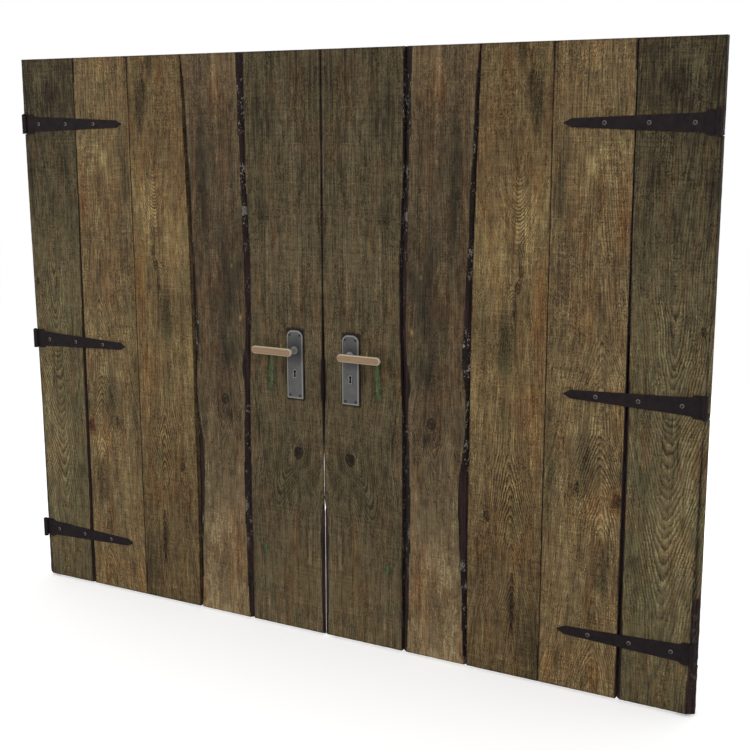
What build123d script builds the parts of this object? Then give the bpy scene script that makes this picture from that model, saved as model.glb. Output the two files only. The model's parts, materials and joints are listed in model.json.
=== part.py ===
from build123d import *
import os
from math import atan2, sin

# Double barn door: two ledged and braced leaves of rough planks on a frame, closed.
# Millimetres. X runs across the door, Y into it, Z up. The origin is at floor level, in the
# middle of the width and of the depth. On a leaf, s is the distance in from its hinge edge,
# h the height above its bottom edge and d the depth behind the planks' front faces.

# Leaves
door_width = 2737.0
leaf_height = 2100.0
floor_gap = 10.0
meeting_gap = 2.4
plank_thickness = 25.0
plank_gap = 1.6
wane_depth = 15.0

# Widths of the four planks nearest the hinges, as shares of the leaf's width
outer_plank_share = 0.1927
second_plank_share = 0.1909
third_plank_share = 0.1810
fourth_plank_share = 0.2011

# How far the joint lines between planks lean, from the top of the leaf to its bottom
first_joint_lean = -6.0
second_joint_lean = 6.0
third_joint_lean = 24.0
fourth_joint_lean = 3.0

# Ledges and braces on the inside
ledge_height = 150.0
ledge_thickness = 28.0
ledge_chamfer = 6.0
ledge_end_to_seam = 62.0
brace_width = 100.0
brace_inset = 26.0
nail_shank = 4.0
nail_head = 11.0
nail_head_height = 3.0
nail_head_slope = 50.0
nail_length = 46.0
nail_row_offset = 42.0

# Frame
post_width = 44.0
post_depth = 48.0
frame_inset = 16.0
frame_clearance = 2.0
head_height = 70.0
head_below_top = 6.0
bridle_thickness = 16.0
bridle_clearance = 0.2
ledge_to_post = 4.0
fixing_hole_radius = 4.5
fixing_head_radius = 10.0
fixing_head_depth = 12.0
fixing_height_low = 420.0
fixing_height_middle = 1200.0
fixing_to_head = 394.0

# Strap hinges
top_strap_to_top = 247.0
middle_strap_share = 0.4776
bottom_strap_height = 204.0
top_strap_past_bolts = 133.0
strap_past_bolts = 111.0
strap_thickness = 5.0
strap_root_height = 74.0
strap_root_end = 38.0
strap_neck_start = 62.0
strap_neck_height = 57.0
strap_tip_height = 27.0
strap_point_length = 26.0
strap_edge_round = 0.8
first_bolt_in = 80.0
second_bolt_to_joint = 45.5
third_bolt_to_joint = 93.5
pin_radius = 5.0
pin_clearance = 0.05
knuckle_radius = 9.0
knuckle_to_planks = 0.5
collar_height = 16.0
collar_gap = 0.3
pin_above_eye = 3.0
pin_chamfer = 1.5
eye_to_plate = 1.0
hook_thickness = 5.0
hook_arm_in = 1.5
notch_clearance = 1.0
notch_end_clearance = 2.0
hook_bend_radius = 4.0
hook_plate_depth = 40.0
hook_screw_spread = 25.0
bolt_radius = 4.0
bolt_clearance = 0.2
bolt_head_radius = 7.0
bolt_head_height = 3.6
bolt_head_chamfer = 2.0
nut_radius = 7.5
nut_height = 6.5
bolt_end = 3.0
screw_radius = 3.0
screw_head_radius = 6.0
screw_head_height = 3.0
screw_head_slope = 20.0
screw_length = 33.0
corner_screw_depth = 4.0
corner_screw_shares = (0.3, 0.7)

# Lever plates, levers and spindles
spindle_height = 1057.0
spindle_to_seam = 114.0
plate_width = 69.0
plate_below_spindle = 177.0
plate_above_spindle = 73.0
plate_thickness = 7.0
plate_dome_radius = 26.0
plate_foot_radius = 9.0
plate_rim = 6.0
plate_rim_height = 1.0
plate_bevel = 2.4
boss_radius = 15.0
boss_height = 2.0
boss_round = 1.5
journal_radius = 9.0
journal_clearance = 0.05
end_play = 0.3
collar_radius = 13.0
lever_collar_height = 3.7
neck_waist_radius = 8.0
neck_end_radius = 9.5
lever_reach = 66.0
grip_length = 169.0
grip_height = 27.0
grip_thickness = 14.0
grip_past_spindle = 21.0
grip_round = 4.5
spindle_side = 8.0
spindle_hole_radius = 8.0
socket_clearance = 0.05
inner_bearing_inset = 4.0
socket_depth = 20.0
socket_end_play = 2.0
lever_drop = 85.0
keyhole_radius = 5.5
keyhole_height = 26.0
keyhole_throat = 5.6
keyhole_foot = 9.0
keyhole_rim = 2.6
keyhole_rim_height = 1.6
plate_screw_radius = 2.0
plate_screw_clearance = 0.1
plate_screw_head_radius = 4.0
plate_screw_head_height = 2.0
plate_screw_length = 16.0
plate_screw_across = 21.0
plate_screw_from_top = 18.0
plate_screw_from_foot = 13.0

# Lock case on the left leaf and keep case on the right one, on the inside
case_length = 150.0
case_height = 170.0
case_depth = 24.0
case_to_edge = 1.5
case_below_spindle = 122.0
case_round = 3.0
case_screw_inset = 11.0
case_to_ledge = 8.0
case_bolt_depth = 13.0
bolt_slot_clearance = 0.2
latch_height = 22.0
latch_thickness = 12.0
latch_length = 68.0
latch_bevel = 9.0
dead_height = 26.0
dead_thickness = 12.0
dead_length = 75.0
dead_chamfer = 1.0
pocket_depth = 22.0
pocket_clearance = 2.5

# Sliding bolts at the top and bottom of the right leaf
slide_plate_width = 36.0
slide_plate_length = 200.0
slide_plate_thickness = 4.0
slide_to_seam = 40.0
slide_rod_radius = 7.0
slide_rod_length = 260.0
slide_rod_clearance = 0.1
slide_rod_lift = 11.0
slide_hoop_radius = 11.0
slide_hoop_length = 16.0
slide_hoop_inset = 14.0
slide_end_gap = 4.0
slide_knob_radius = 5.0
slide_knob_reach = 20.0
slide_knob_ball = 8.0
top_knob_share = 0.35
bottom_knob_share = 0.65
slide_rod_chamfer = 1.5
slide_plate_from_end = 44.0
slide_socket_side = 18.0
slide_socket_depth = 45.0

# Worked out from the sizes above
leaf_width = (door_width - meeting_gap) / 2
back = plank_thickness
ledge_back = back + ledge_thickness
case_back = back + case_depth
bearing_length = plate_thickness + boss_height
inner_bearing_start = case_back - inner_bearing_inset
frame_front = back + frame_clearance
frame_back = frame_front + post_depth
post_start = frame_inset
post_end = post_start + post_width
ledge_start = post_end + ledge_to_post
ledge_end = leaf_width - ledge_end_to_seam
case_end = leaf_width - case_to_edge
case_start = case_end - case_length
middle_ledge_end = case_start - case_to_ledge
spindle_in = leaf_width - spindle_to_seam
keyhole_middle = spindle_height - lever_drop
pin_in = knuckle_radius
pin_depth = -(knuckle_radius + knuckle_to_planks)
door_depth = 2 * lever_reach + inner_bearing_start
face_y = lever_reach - door_depth / 2
leaf_top = floor_gap + leaf_height
head_top = leaf_top - head_below_top
head_bottom = head_top - head_height
joint_1 = leaf_width * outer_plank_share
joint_2 = joint_1 + leaf_width * second_plank_share
joint_3 = joint_2 + leaf_width * third_plank_share
joint_4 = joint_3 + leaf_width * fourth_plank_share
fixing_heights = (fixing_height_low, fixing_height_middle, head_bottom - fixing_to_head)
bolts_in = (first_bolt_in, joint_1 - second_bolt_to_joint, joint_1 + third_bolt_to_joint)
top_strap_height = leaf_height - top_strap_to_top
middle_strap_height = leaf_height * middle_strap_share
top_strap_length = bolts_in[2] + top_strap_past_bolts
strap_length = bolts_in[2] + strap_past_bolts
notch_depth = hook_arm_in + hook_thickness + notch_clearance
slide_in = leaf_width - slide_to_seam
slide_depth = back + slide_plate_thickness + slide_rod_lift
top_plate_low = head_bottom - slide_plate_from_end - slide_plate_length
bottom_plate_low = floor_gap + slide_plate_from_end
top_rod_low = head_bottom - slide_end_gap - slide_rod_length
bottom_rod_low = floor_gap + slide_end_gap

to_viewer = (0, -1, 0)
to_inside = (0, 1, 0)
straps = {
    "top": (top_strap_height, top_strap_length),
    "middle": (middle_strap_height, strap_length),
    "bottom": (bottom_strap_height, strap_length),
}
side_names = {-1: "left", 1: "right"}

os.makedirs("parts", exist_ok=True)


def save(piece, name):
    piece.part.label = name
    export_step(piece.part, f"parts/{name}.step")


def place_x(side, s):
    """X of a point s in from the hinge edge, on the left leaf (side -1) or the right (side 1)."""
    return side * (door_width / 2 - s)


def leaf_plane(side, h=0.0, d=0.0, s=0.0):
    """Upright plane along a leaf: its x runs from the hinge edge to the seam, its y up."""
    origin = (place_x(side, s), face_y + d, floor_gap + h)
    return Plane(origin=origin, x_dir=(-side, 0, 0), z_dir=(0, side, 0))


def plan_plane(side, z, s=0.0, d=0.0):
    """Level plane: its x runs from the hinge edge to the seam, its y into the door."""
    return Plane(origin=(place_x(side, s), face_y + d, z), x_dir=(-side, 0, 0), z_dir=(0, 0, -side))


def edge(top, lean, insets, towards):
    """Points up a plank's edge: a leaning line, set back by (share of the height, inset) pairs."""
    return [(top + lean * (1 - share) + towards * inset, leaf_height * share) for share, inset in insets]


def plank(name, side, sections, cutter=None):
    """A plank lofted through outlines at given depths, with holes cut by cutter."""
    with BuildPart() as board:
        for depth, (outer, inner) in sections:
            with BuildSketch(leaf_plane(side, d=depth)):
                with BuildLine():
                    left = Spline(*outer)
                    right = Spline(*inner)
                    Line(left @ 0, right @ 0)
                    Line(left @ 1, right @ 1)
                make_face()
        loft(ruled=True)
        if cutter is not None:
            add(cutter, mode=Mode.SUBTRACT)
    save(board, f"{side_names[side]}_{name}_plank")


straight = [(0.0, 0.0), (0.5, 0.0), (1.0, 0.0)]

# Edges of the planks, from bottom to top. Each row gives the share of the leaf's height, and in
# millimetres how far the face is set back, or first how far the joint bows towards the seam.
hinge_taper = [(0.0, 25.0), (0.33, 15.0), (0.67, 4.0), (1.0, 1.0)]
first_joint_wane = [(0.0, 13.5), (0.3, 11.5), (0.5, 9.0), (0.66, 4.0), (0.85, 1.8), (1.0, 1.0)]
third_joint_wane = [
    (0.0, 0.0, 9.0), (0.07, 3.7, 14.0), (0.13, 6.0, 17.0), (0.19, 8.5, 25.0), (0.245, 10.0, 31.0),
    (0.29, 11.0, 33.0), (0.325, 11.8, 28.0), (0.36, 12.4, 17.0), (0.415, 13.0, 8.0),
    (0.46, 13.3, 11.0), (0.5, 13.5, 24.0), (0.545, 13.5, 24.5), (0.6, 13.3, 21.0),
    (0.66, 12.8, 17.0), (0.72, 11.4, 14.0), (0.775, 9.6, 15.5), (0.83, 7.0, 11.5),
    (0.89, 4.0, 12.5), (0.96, 1.2, 8.0), (1.0, 0.0, 2.0),
]
fourth_joint_wane = [
    (0.0, 0.0, 17.0), (0.06, -1.0, 22.0), (0.13, -1.0, 25.0), (0.215, -2.5, 26.0),
    (0.32, -2.0, 24.0), (0.39, 0.0, 19.5), (0.432, 2.5, 21.5), (0.462, 4.5, 33.0),
    (0.488, 7.0, 27.0), (0.514, 9.0, 20.0), (0.58, 12.0, 22.0), (0.66, 13.0, 24.0),
    (0.73, 8.0, 22.0), (0.8, 2.0, 18.5), (0.87, 0.0, 21.0), (0.94, -0.5, 24.0), (1.0, 0.0, 27.0),
]

# The seam's edge: share of the height, then the set-back of the face, at the wane's depth and of the back
seam_edge = [
    (0.0, 11.0, 0.8, 6.5), (0.06, 11.5, 0.8, 6.5), (0.12, 12.5, 0.8, 6.5), (0.18, 14.0, 0.8, 6.5),
    (0.21, 12.0, 0.9, 6.7), (0.228, 8.5, 2.0, 8.0), (0.242, 2.5, 7.0, 14.0), (0.258, 0.8, 9.7, 16.8),
    (0.3, 0.8, 10.0, 17.0), (0.33, 0.8, 9.0, 16.0), (0.35, 1.0, 3.0, 6.0), (0.37, 1.8, 0.8, 0.8),
    (0.43, 6.0, 0.8, 0.8), (0.5, 5.0, 0.8, 0.8), (0.57, 1.2, 0.6, 0.6), (0.7, 0.5, 0.5, 0.5),
    (0.85, 0.5, 0.5, 0.5), (1.0, 0.5, 0.5, 0.5),
]


def bolt_cutter(side, places):
    """Clearance holes for the strap bolts, at each strap and at the places given."""
    with BuildPart() as holes:
        for height, _ in straps.values():
            with BuildSketch(leaf_plane(side, h=height)):
                with Locations(*[(s, 0) for s in places]):
                    Circle(bolt_radius + bolt_clearance)
            extrude(amount=ledge_back, dir=to_inside)
    return holes.part


def notch_cutter(side):
    """Notches in the outer plank's edge, which the hinge hooks' arms pass through."""
    with BuildPart() as notches:
        for height, _ in straps.values():
            low = height - strap_root_height / 2 + collar_height / 2
            with BuildSketch(leaf_plane(side, h=low)):
                Rectangle(2 * notch_depth, collar_height + 2 * notch_end_clearance)
            extrude(amount=back, dir=to_inside)
    return notches.part


def keyhole_cutter(side, depth):
    """The keyhole's outline, run through the leaf from before its plate to the given depth."""
    with BuildPart() as hole:
        with BuildSketch(leaf_plane(side, h=keyhole_middle, d=-bearing_length, s=spindle_in)):
            keyhole_outline()
        extrude(amount=depth + bearing_length, dir=to_inside)
    return hole.part


def keyhole_outline(grow=0.0):
    """Round head and flared slot of a keyhole, centred on the sketch's origin."""
    top = keyhole_height / 2 - keyhole_radius
    foot = -keyhole_height / 2
    with Locations((0, top)):
        Circle(keyhole_radius + grow)
    throat_half = keyhole_throat / 2 + grow
    foot_half = keyhole_foot / 2 + grow
    Polygon(
        (-throat_half, top), (-foot_half, foot - grow), (foot_half, foot - grow), (throat_half, top),
        align=None,
    )


def spindle_cutter(side):
    """The spindle's hole, right through the leaf and what is mounted on it."""
    with BuildPart() as hole:
        with BuildSketch(leaf_plane(side, h=spindle_height, d=-bearing_length, s=spindle_in)):
            Circle(spindle_hole_radius)
        extrude(amount=2 * bearing_length + case_back, dir=to_inside)
    return hole.part


def unwaned(rows):
    """The same shares of the height as in rows, with no set-back."""
    return [(row[0], 0.0) for row in rows]


def joint_edges(middle, lean, rows, waned_side):
    """Edges of a bowed joint: the waned plank's face and back, and its neighbour's edge."""
    gap = waned_side * plank_gap / 2
    bow = [(share, bowed) for share, bowed, _ in rows]
    face = [(share, bowed + waned_side * wane) for share, bowed, wane in rows]
    return (
        edge(middle + gap, lean, face, 1),
        edge(middle + gap, lean, bow, 1),
        edge(middle - gap, lean, bow, 1),
    )


# Planks: five on each leaf, the right leaf a mirror image of the left
def planks(side):
    gap = plank_gap / 2
    first_gap = edge(joint_1 - gap, first_joint_lean, first_joint_wane, -1)
    first_back = edge(joint_1 - gap, first_joint_lean, unwaned(first_joint_wane), -1)
    hinge_line = edge(0.0, 0.0, hinge_taper, 1)
    hinge_back = edge(0.0, 0.0, unwaned(hinge_taper), 1)
    outer_back = (hinge_back, first_back)
    sections = [(0.0, (hinge_line, first_gap)), (wane_depth, outer_back), (back, outer_back)]
    plank("outer", side, sections, bolt_cutter(side, bolts_in[:2]) + notch_cutter(side))

    second_outer = edge(joint_1 + gap, first_joint_lean, straight, 1)
    second_inner = edge(joint_2 - gap, second_joint_lean, straight, 1)
    second = (second_outer, second_inner)
    plank("second", side, [(0.0, second), (back, second)], bolt_cutter(side, bolts_in[2:]))

    third_outer = edge(joint_2 + gap, second_joint_lean, straight, 1)
    outer_face, outer_edge, third_inner = joint_edges(joint_3, third_joint_lean, third_joint_wane, 1)
    third = (third_outer, third_inner)
    plank("third", side, [(0.0, third), (back, third)])

    inner_face, inner_edge, inner_outer = joint_edges(joint_4, fourth_joint_lean, fourth_joint_wane, -1)
    fourth_back = (outer_edge, inner_edge)
    sections = [(0.0, (outer_face, inner_face)), (wane_depth, fourth_back), (back, fourth_back)]
    plank("fourth", side, sections)

    seam_edges = [
        edge(leaf_width, 0.0, [(row[0], row[column]) for row in seam_edge], -1) for column in (1, 2, 3)
    ]
    sections = [(depth, (inner_outer, line)) for depth, line in zip((0.0, wane_depth, back), seam_edges)]
    plank("inner", side, sections, spindle_cutter(side) + keyhole_cutter(side, back + 1))


# Ledges: level boards across the inside, with chamfered arrises
def ledge(side, where):
    height, _ = straps[where]
    end = middle_ledge_end if where == "middle" else ledge_end
    length = end - ledge_start
    with BuildPart() as board:
        with BuildSketch(leaf_plane(side, h=height, d=back, s=ledge_start + length / 2)):
            Rectangle(length, ledge_height)
        extrude(amount=ledge_thickness, dir=to_inside)
        arrises = board.faces().sort_by(Axis.Y)[-1].edges()
        chamfer(arrises, ledge_chamfer)
        add(bolt_cutter(side, bolts_in), mode=Mode.SUBTRACT)
    save(board, f"{side_names[side]}_{where}_ledge")


def brace_corners(low_strap, high_strap):
    """Corners of a brace from the hinge end of one ledge up to the seam end of the next."""
    low = straps[low_strap][0] + ledge_height / 2
    high = straps[high_strap][0] - ledge_height / 2
    first = ledge_start + brace_inset
    last = middle_ledge_end - brace_inset
    # The level width of a leaning brace depends on its own slope, so the sum is repeated
    level = brace_width
    for _ in range(4):
        level = brace_width / sin(atan2(high - low, last - level - first))
    return [(first, low), (first + level, low), (last, high), (last - level, high)]


def brace(side, name, low_strap, high_strap):
    with BuildPart() as board:
        with BuildSketch(leaf_plane(side, d=back)):
            Polygon(*brace_corners(low_strap, high_strap), align=None)
        extrude(amount=ledge_thickness, dir=to_inside)
    save(board, f"{side_names[side]}_{name}_brace")


# Nails: cut nails with faceted heads, driven from the inside through ledges and braces
def nail_places():
    middles = []
    starts = (ledge_start, joint_1, joint_2, joint_3, joint_4)
    ends = (joint_1, joint_2, joint_3, joint_4, leaf_width)
    for start, end in zip(starts, ends):
        middles.append((start + end) / 2)
    places = []
    for where, (height, _) in straps.items():
        for number, middle in enumerate(middles):
            last = number == len(middles) - 1
            if last:
                end = middle_ledge_end if where == "middle" else ledge_end
                middle = (joint_4 + fourth_joint_lean + end) / 2
            places.append((middle - nail_row_offset / 2, height + nail_row_offset))
            places.append((middle + nail_row_offset / 2, height - nail_row_offset))
    for low_strap, high_strap in (("bottom", "middle"), ("middle", "top")):
        corners = brace_corners(low_strap, high_strap)
        foot = (Vector(*corners[0]) + Vector(*corners[1])) / 2
        top = (Vector(*corners[2]) + Vector(*corners[3])) / 2
        for middle in middles[1:4]:
            share = (middle - foot.X) / (top.X - foot.X)
            places.append((middle, foot.Y + share * (top.Y - foot.Y)))
    return places


def nails(side):
    with BuildPart() as group:
        with BuildSketch(leaf_plane(side, d=ledge_back)):
            with Locations(*nail_places()):
                Rectangle(nail_shank, nail_shank)
        extrude(amount=nail_length, dir=to_viewer)
        with BuildSketch(leaf_plane(side, d=ledge_back)):
            with Locations(*nail_places()):
                Rectangle(nail_head, nail_head)
        extrude(amount=side * nail_head_height, taper=nail_head_slope)
    save(group, f"{side_names[side]}_ledge_nails")


# Straps: tapering plates with a widened root, a point, and an eye rolled round the pin
def strap(side, where):
    height, length = straps[where]
    root = strap_root_height / 2
    neck = strap_neck_height / 2
    tip = strap_tip_height / 2
    plate_start = pin_in + knuckle_radius + eye_to_plate
    eye_low = height - root + collar_height + collar_gap
    eye_height = strap_root_height - collar_height - collar_gap
    with BuildPart() as hinge:
        with BuildSketch(leaf_plane(side, h=height)):
            with BuildLine():
                Line((plate_start, 0), (plate_start, root))
                Line((plate_start, root), (strap_root_end, root))
                bend = (strap_neck_start - strap_root_end) / 2
                Bezier(
                    (strap_root_end, root), (strap_root_end + bend, root),
                    (strap_neck_start - bend, neck), (strap_neck_start, neck),
                )
                Line((strap_neck_start, neck), (length - strap_point_length, tip))
                Line((length - strap_point_length, tip), (length, 0))
                mirror(about=Plane.XZ)
            make_face()
        extrude(amount=strap_thickness, dir=to_viewer)
        front = hinge.faces().sort_by(Axis.Y)[0]
        chamfer(front.edges(), strap_edge_round)
        # The eye: a ring round the pin, and the stretch of plate that runs into it
        with BuildSketch(plan_plane(side, floor_gap + eye_low, s=pin_in, d=pin_depth)):
            Circle(knuckle_radius)
            with Locations((0, knuckle_radius + knuckle_to_planks)):
                Rectangle(knuckle_radius + 3 * eye_to_plate, strap_thickness, align=(Align.MIN, Align.MAX))
            Circle(pin_radius + pin_clearance, mode=Mode.SUBTRACT)
        extrude(amount=eye_height, dir=(0, 0, 1))
        add(bolt_cutter_front(side, height), mode=Mode.SUBTRACT)
    save(hinge, f"{side_names[side]}_{where}_strap")


def bolt_cutter_front(side, height):
    """Clearance holes for the strap bolts through a strap."""
    with BuildPart() as holes:
        with BuildSketch(leaf_plane(side, h=height)):
            with Locations(*[(s, 0) for s in bolts_in]):
                Circle(bolt_radius + bolt_clearance)
        extrude(amount=2 * strap_thickness, dir=to_viewer)
    return holes.part


def strap_bolts(side):
    """Round-headed bolts through strap, plank and ledge, each with its nut drawn up."""
    with BuildPart() as group:
        for height, _ in straps.values():
            spots = [(s, 0) for s in bolts_in]
            with BuildSketch(leaf_plane(side, h=height, d=-strap_thickness)):
                with Locations(*spots):
                    Circle(bolt_head_radius)
            extrude(amount=bolt_head_height, dir=to_viewer)
        rims = group.edges().filter_by(GeomType.CIRCLE).group_by(Axis.Y)[0]
        chamfer(rims, bolt_head_chamfer)
        for height, _ in straps.values():
            spots = [(s, 0) for s in bolts_in]
            with BuildSketch(leaf_plane(side, h=height, d=-strap_thickness)):
                with Locations(*spots):
                    Circle(bolt_radius)
            extrude(amount=strap_thickness + ledge_back + nut_height + bolt_end, dir=to_inside)
            with BuildSketch(leaf_plane(side, h=height, d=ledge_back)):
                with Locations(*spots):
                    RegularPolygon(nut_radius, 6)
            extrude(amount=nut_height, dir=to_inside)
    save(group, f"{side_names[side]}_strap_bolts")


# Hooks: forged pieces on the posts, reaching round the plank's edge to the hinge pin
def hook(side, where):
    height, _ = straps[where]
    low = floor_gap + height - strap_root_height / 2
    plate_middle = post_start - hook_thickness / 2
    arm_middle = hook_arm_in + hook_thickness / 2
    turn = frame_front + hook_thickness / 2
    route = [
        (plate_middle, frame_front + hook_plate_depth / 2),
        (plate_middle, turn),
        (arm_middle, turn),
        (arm_middle, pin_depth),
        (pin_in, pin_depth),
    ]
    with BuildPart() as piece:
        with BuildSketch(plan_plane(side, low)):
            with BuildLine():
                FilletPolyline(*route, radius=hook_bend_radius)
            trace(line_width=hook_thickness)
            with Locations((pin_in, pin_depth)):
                Circle(knuckle_radius)
        extrude(amount=collar_height, dir=(0, 0, 1))
        with BuildSketch(plan_plane(side, low)):
            with Locations((plate_middle, frame_front + hook_thickness)):
                Rectangle(hook_thickness, hook_plate_depth - hook_thickness, align=(Align.CENTER, Align.MIN))
        extrude(amount=strap_root_height, dir=(0, 0, 1))
        with BuildSketch(plan_plane(side, low)):
            with Locations((pin_in, pin_depth)):
                Circle(pin_radius)
        extrude(amount=strap_root_height + pin_above_eye, dir=(0, 0, 1))
        chamfer(piece.edges().filter_by(GeomType.CIRCLE).sort_by(Axis.Z)[-1], pin_chamfer)
        for plane in hook_screw_planes(side, height):
            with BuildSketch(plane):
                Circle(screw_radius + bolt_clearance)
            extrude(amount=-2 * hook_thickness, mode=Mode.SUBTRACT)
    save(piece, f"{side_names[side]}_{where}_hinge_hook")


def hook_screw_planes(side, height):
    """Planes on the outside of a hook's plate, one at each of its screws."""
    x = place_x(side, post_start - hook_thickness)
    y = face_y + frame_front + (hook_thickness + hook_plate_depth) / 2
    return [
        Plane(origin=(x, y, floor_gap + height + rise), z_dir=(side, 0, 0))
        for rise in (-hook_screw_spread, 0.0, hook_screw_spread)
    ]


def corner_screw_planes(depth):
    """Planes the given depth into the frame's back, at the two screws of each corner joint."""
    planes = []
    for side in side_names:
        for share in corner_screw_shares:
            s = post_start + post_width * share
            z = head_bottom + head_height * share
            origin = (place_x(side, s), face_y + frame_back - depth, z)
            planes.append(Plane(origin=origin, z_dir=(0, 1, 0)))
    return planes


def frame_screws():
    with BuildPart() as group:
        planes = corner_screw_planes(corner_screw_depth)
        for side in side_names:
            for height, _ in straps.values():
                planes += hook_screw_planes(side, height)
        for plane in planes:
            with BuildSketch(plane):
                Circle(screw_radius)
            extrude(amount=-screw_length)
            with BuildSketch(plane):
                Circle(screw_head_radius)
            extrude(amount=screw_head_height, taper=screw_head_slope)
    save(group, "frame_screws")


# Frame: two posts and a head, with open bridle joints at the corners
def bridle(side, clearance):
    """The space of a post's tongue within the head, grown by a clearance in depth."""
    with BuildPart() as tongue:
        middle_y = face_y + frame_front + post_depth / 2
        with Locations((place_x(side, post_start + post_width / 2), middle_y, head_bottom)):
            Box(
                post_width + 2 * clearance, bridle_thickness + 2 * clearance, head_height,
                align=(Align.CENTER, Align.CENTER, Align.MIN),
            )
    return tongue.part


def post(side):
    with BuildPart() as timber:
        with BuildSketch(plan_plane(side, 0)):
            with Locations((post_start, frame_front)):
                Rectangle(post_width, post_depth, align=Align.MIN)
        extrude(amount=head_bottom, dir=(0, 0, 1))
        add(bridle(side, 0.0))
        for height in fixing_heights:
            middle = post_start + post_width / 2
            with BuildSketch(leaf_plane(side, h=height - floor_gap, d=frame_front, s=middle)):
                Circle(fixing_head_radius)
            extrude(amount=fixing_head_depth, dir=to_inside, mode=Mode.SUBTRACT)
            with BuildSketch(leaf_plane(side, h=height - floor_gap, d=frame_front, s=middle)):
                Circle(fixing_hole_radius)
            extrude(amount=post_depth, dir=to_inside, mode=Mode.SUBTRACT)
    save(timber, f"{side_names[side]}_post")


def head():
    length = door_width - 2 * post_start
    with BuildPart() as timber:
        with Locations((0, face_y + frame_front, head_bottom)):
            Box(length, post_depth, head_height, align=(Align.CENTER, Align.MIN, Align.MIN))
        for side in side_names:
            add(bridle(side, bridle_clearance), mode=Mode.SUBTRACT)
        socket = plan_plane(1, head_bottom, s=slide_in, d=slide_depth)
        with BuildSketch(socket):
            Rectangle(slide_socket_side, slide_socket_side)
        extrude(amount=slide_socket_depth, dir=(0, 0, 1), mode=Mode.SUBTRACT)
        for plane in corner_screw_planes(corner_screw_depth):
            with BuildSketch(plane):
                Circle(screw_head_radius + bolt_clearance)
            extrude(amount=corner_screw_depth, mode=Mode.SUBTRACT)
    save(timber, "frame_head")


# Lever plates: domed at the top, a field sunk inside a rim, a boss for the lever's journal
def plate_screw_places():
    """Centres of a lever plate's screws, from the spindle."""
    top = plate_above_spindle - plate_screw_from_top
    foot = plate_screw_from_foot - plate_below_spindle
    return [(x, y) for x in (-plate_screw_across, plate_screw_across) for y in (foot, top)]


def lever_plate(side):
    height = plate_above_spindle + plate_below_spindle
    middle = spindle_height + (plate_above_spindle - plate_below_spindle) / 2
    with BuildPart() as plate:
        with BuildSketch(leaf_plane(side, h=middle, s=spindle_in)) as outline:
            Rectangle(plate_width, height)
            corners = outline.vertices().group_by(Axis.Y)
            fillet(corners[-1], plate_dome_radius)
            fillet(corners[0], plate_foot_radius)
        extrude(amount=plate_thickness, dir=to_viewer)
        chamfer(plate.faces().sort_by(Axis.Y)[0].edges(), plate_bevel)
        with BuildSketch(leaf_plane(side, h=middle, d=-plate_thickness, s=spindle_in)) as field:
            Rectangle(plate_width - 2 * plate_rim, height - 2 * plate_rim)
            corners = field.vertices().group_by(Axis.Y)
            fillet(corners[-1], plate_dome_radius - plate_rim)
        extrude(amount=plate_rim_height, dir=to_inside, mode=Mode.SUBTRACT)
        with BuildSketch(leaf_plane(side, h=spindle_height, s=spindle_in)):
            Circle(boss_radius)
        extrude(amount=bearing_length, dir=to_viewer)
        rim = plate.faces().sort_by(Axis.Y)[0].edges()
        fillet(rim, boss_round)
        with BuildSketch(leaf_plane(side, h=keyhole_middle, d=-plate_thickness / 2, s=spindle_in)):
            keyhole_outline(keyhole_rim)
        extrude(amount=plate_thickness / 2 + keyhole_rim_height - plate_rim_height, dir=to_viewer)
        with BuildSketch(leaf_plane(side, h=spindle_height, s=spindle_in)):
            Circle(journal_radius + journal_clearance)
        extrude(amount=bearing_length, dir=to_viewer, mode=Mode.SUBTRACT)
        with BuildSketch(leaf_plane(side, h=spindle_height, s=spindle_in)):
            with Locations(*plate_screw_places()):
                Circle(plate_screw_radius + plate_screw_clearance)
        extrude(amount=plate_thickness, dir=to_viewer, mode=Mode.SUBTRACT)
        add(keyhole_cutter(side, 1.0), mode=Mode.SUBTRACT)
    save(plate, f"{side_names[side]}_lever_plate")


# Levers: a turned neck with a journal and a collar, and a flat grip bar across its end
def neck_profile():
    """Half section of a neck: radius across, distance out of its bearing upwards."""
    waist = lever_reach - grip_thickness
    collar_start = bearing_length + end_play
    collar_end = collar_start + lever_collar_height
    with BuildLine() as line:
        Polyline(
            (0, end_play), (journal_radius, end_play), (journal_radius, collar_start),
            (collar_radius, collar_start), (collar_radius, collar_end), (neck_end_radius, collar_end),
        )
        middle = (collar_end + waist) / 2
        ThreePointArc((neck_end_radius, collar_end), (neck_waist_radius, middle), (neck_end_radius, waist))
        Polyline((neck_end_radius, waist), (0, waist), (0, end_play))
    return line.line


def neck(side, name, outside):
    """A lever's neck: the outside one carries the square spindle, the inside one its socket."""
    bearing = 0.0 if outside else inner_bearing_start
    away = -1 if outside else 1
    origin = (place_x(side, spindle_in), face_y + bearing, floor_gap + spindle_height)
    section = Plane(origin=origin, x_dir=(0, 0, 1), z_dir=(-away, 0, 0))
    square = leaf_plane(side, h=spindle_height, d=bearing + away * end_play, s=spindle_in)
    with BuildPart() as turned:
        with BuildSketch(section):
            with BuildLine():
                add(neck_profile())
            make_face()
        revolve(axis=Axis(origin, (0, away, 0)))
        with BuildSketch(square):
            Rectangle(spindle_side, spindle_side)
            if not outside:
                offset(amount=socket_clearance, kind=Kind.INTERSECTION)
        if outside:
            reach = inner_bearing_start + socket_depth - socket_end_play + 2 * end_play
            extrude(amount=reach, dir=to_inside)
        else:
            extrude(amount=socket_depth, dir=to_inside, mode=Mode.SUBTRACT)
    save(turned, f"{side_names[side]}_{name}")


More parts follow.
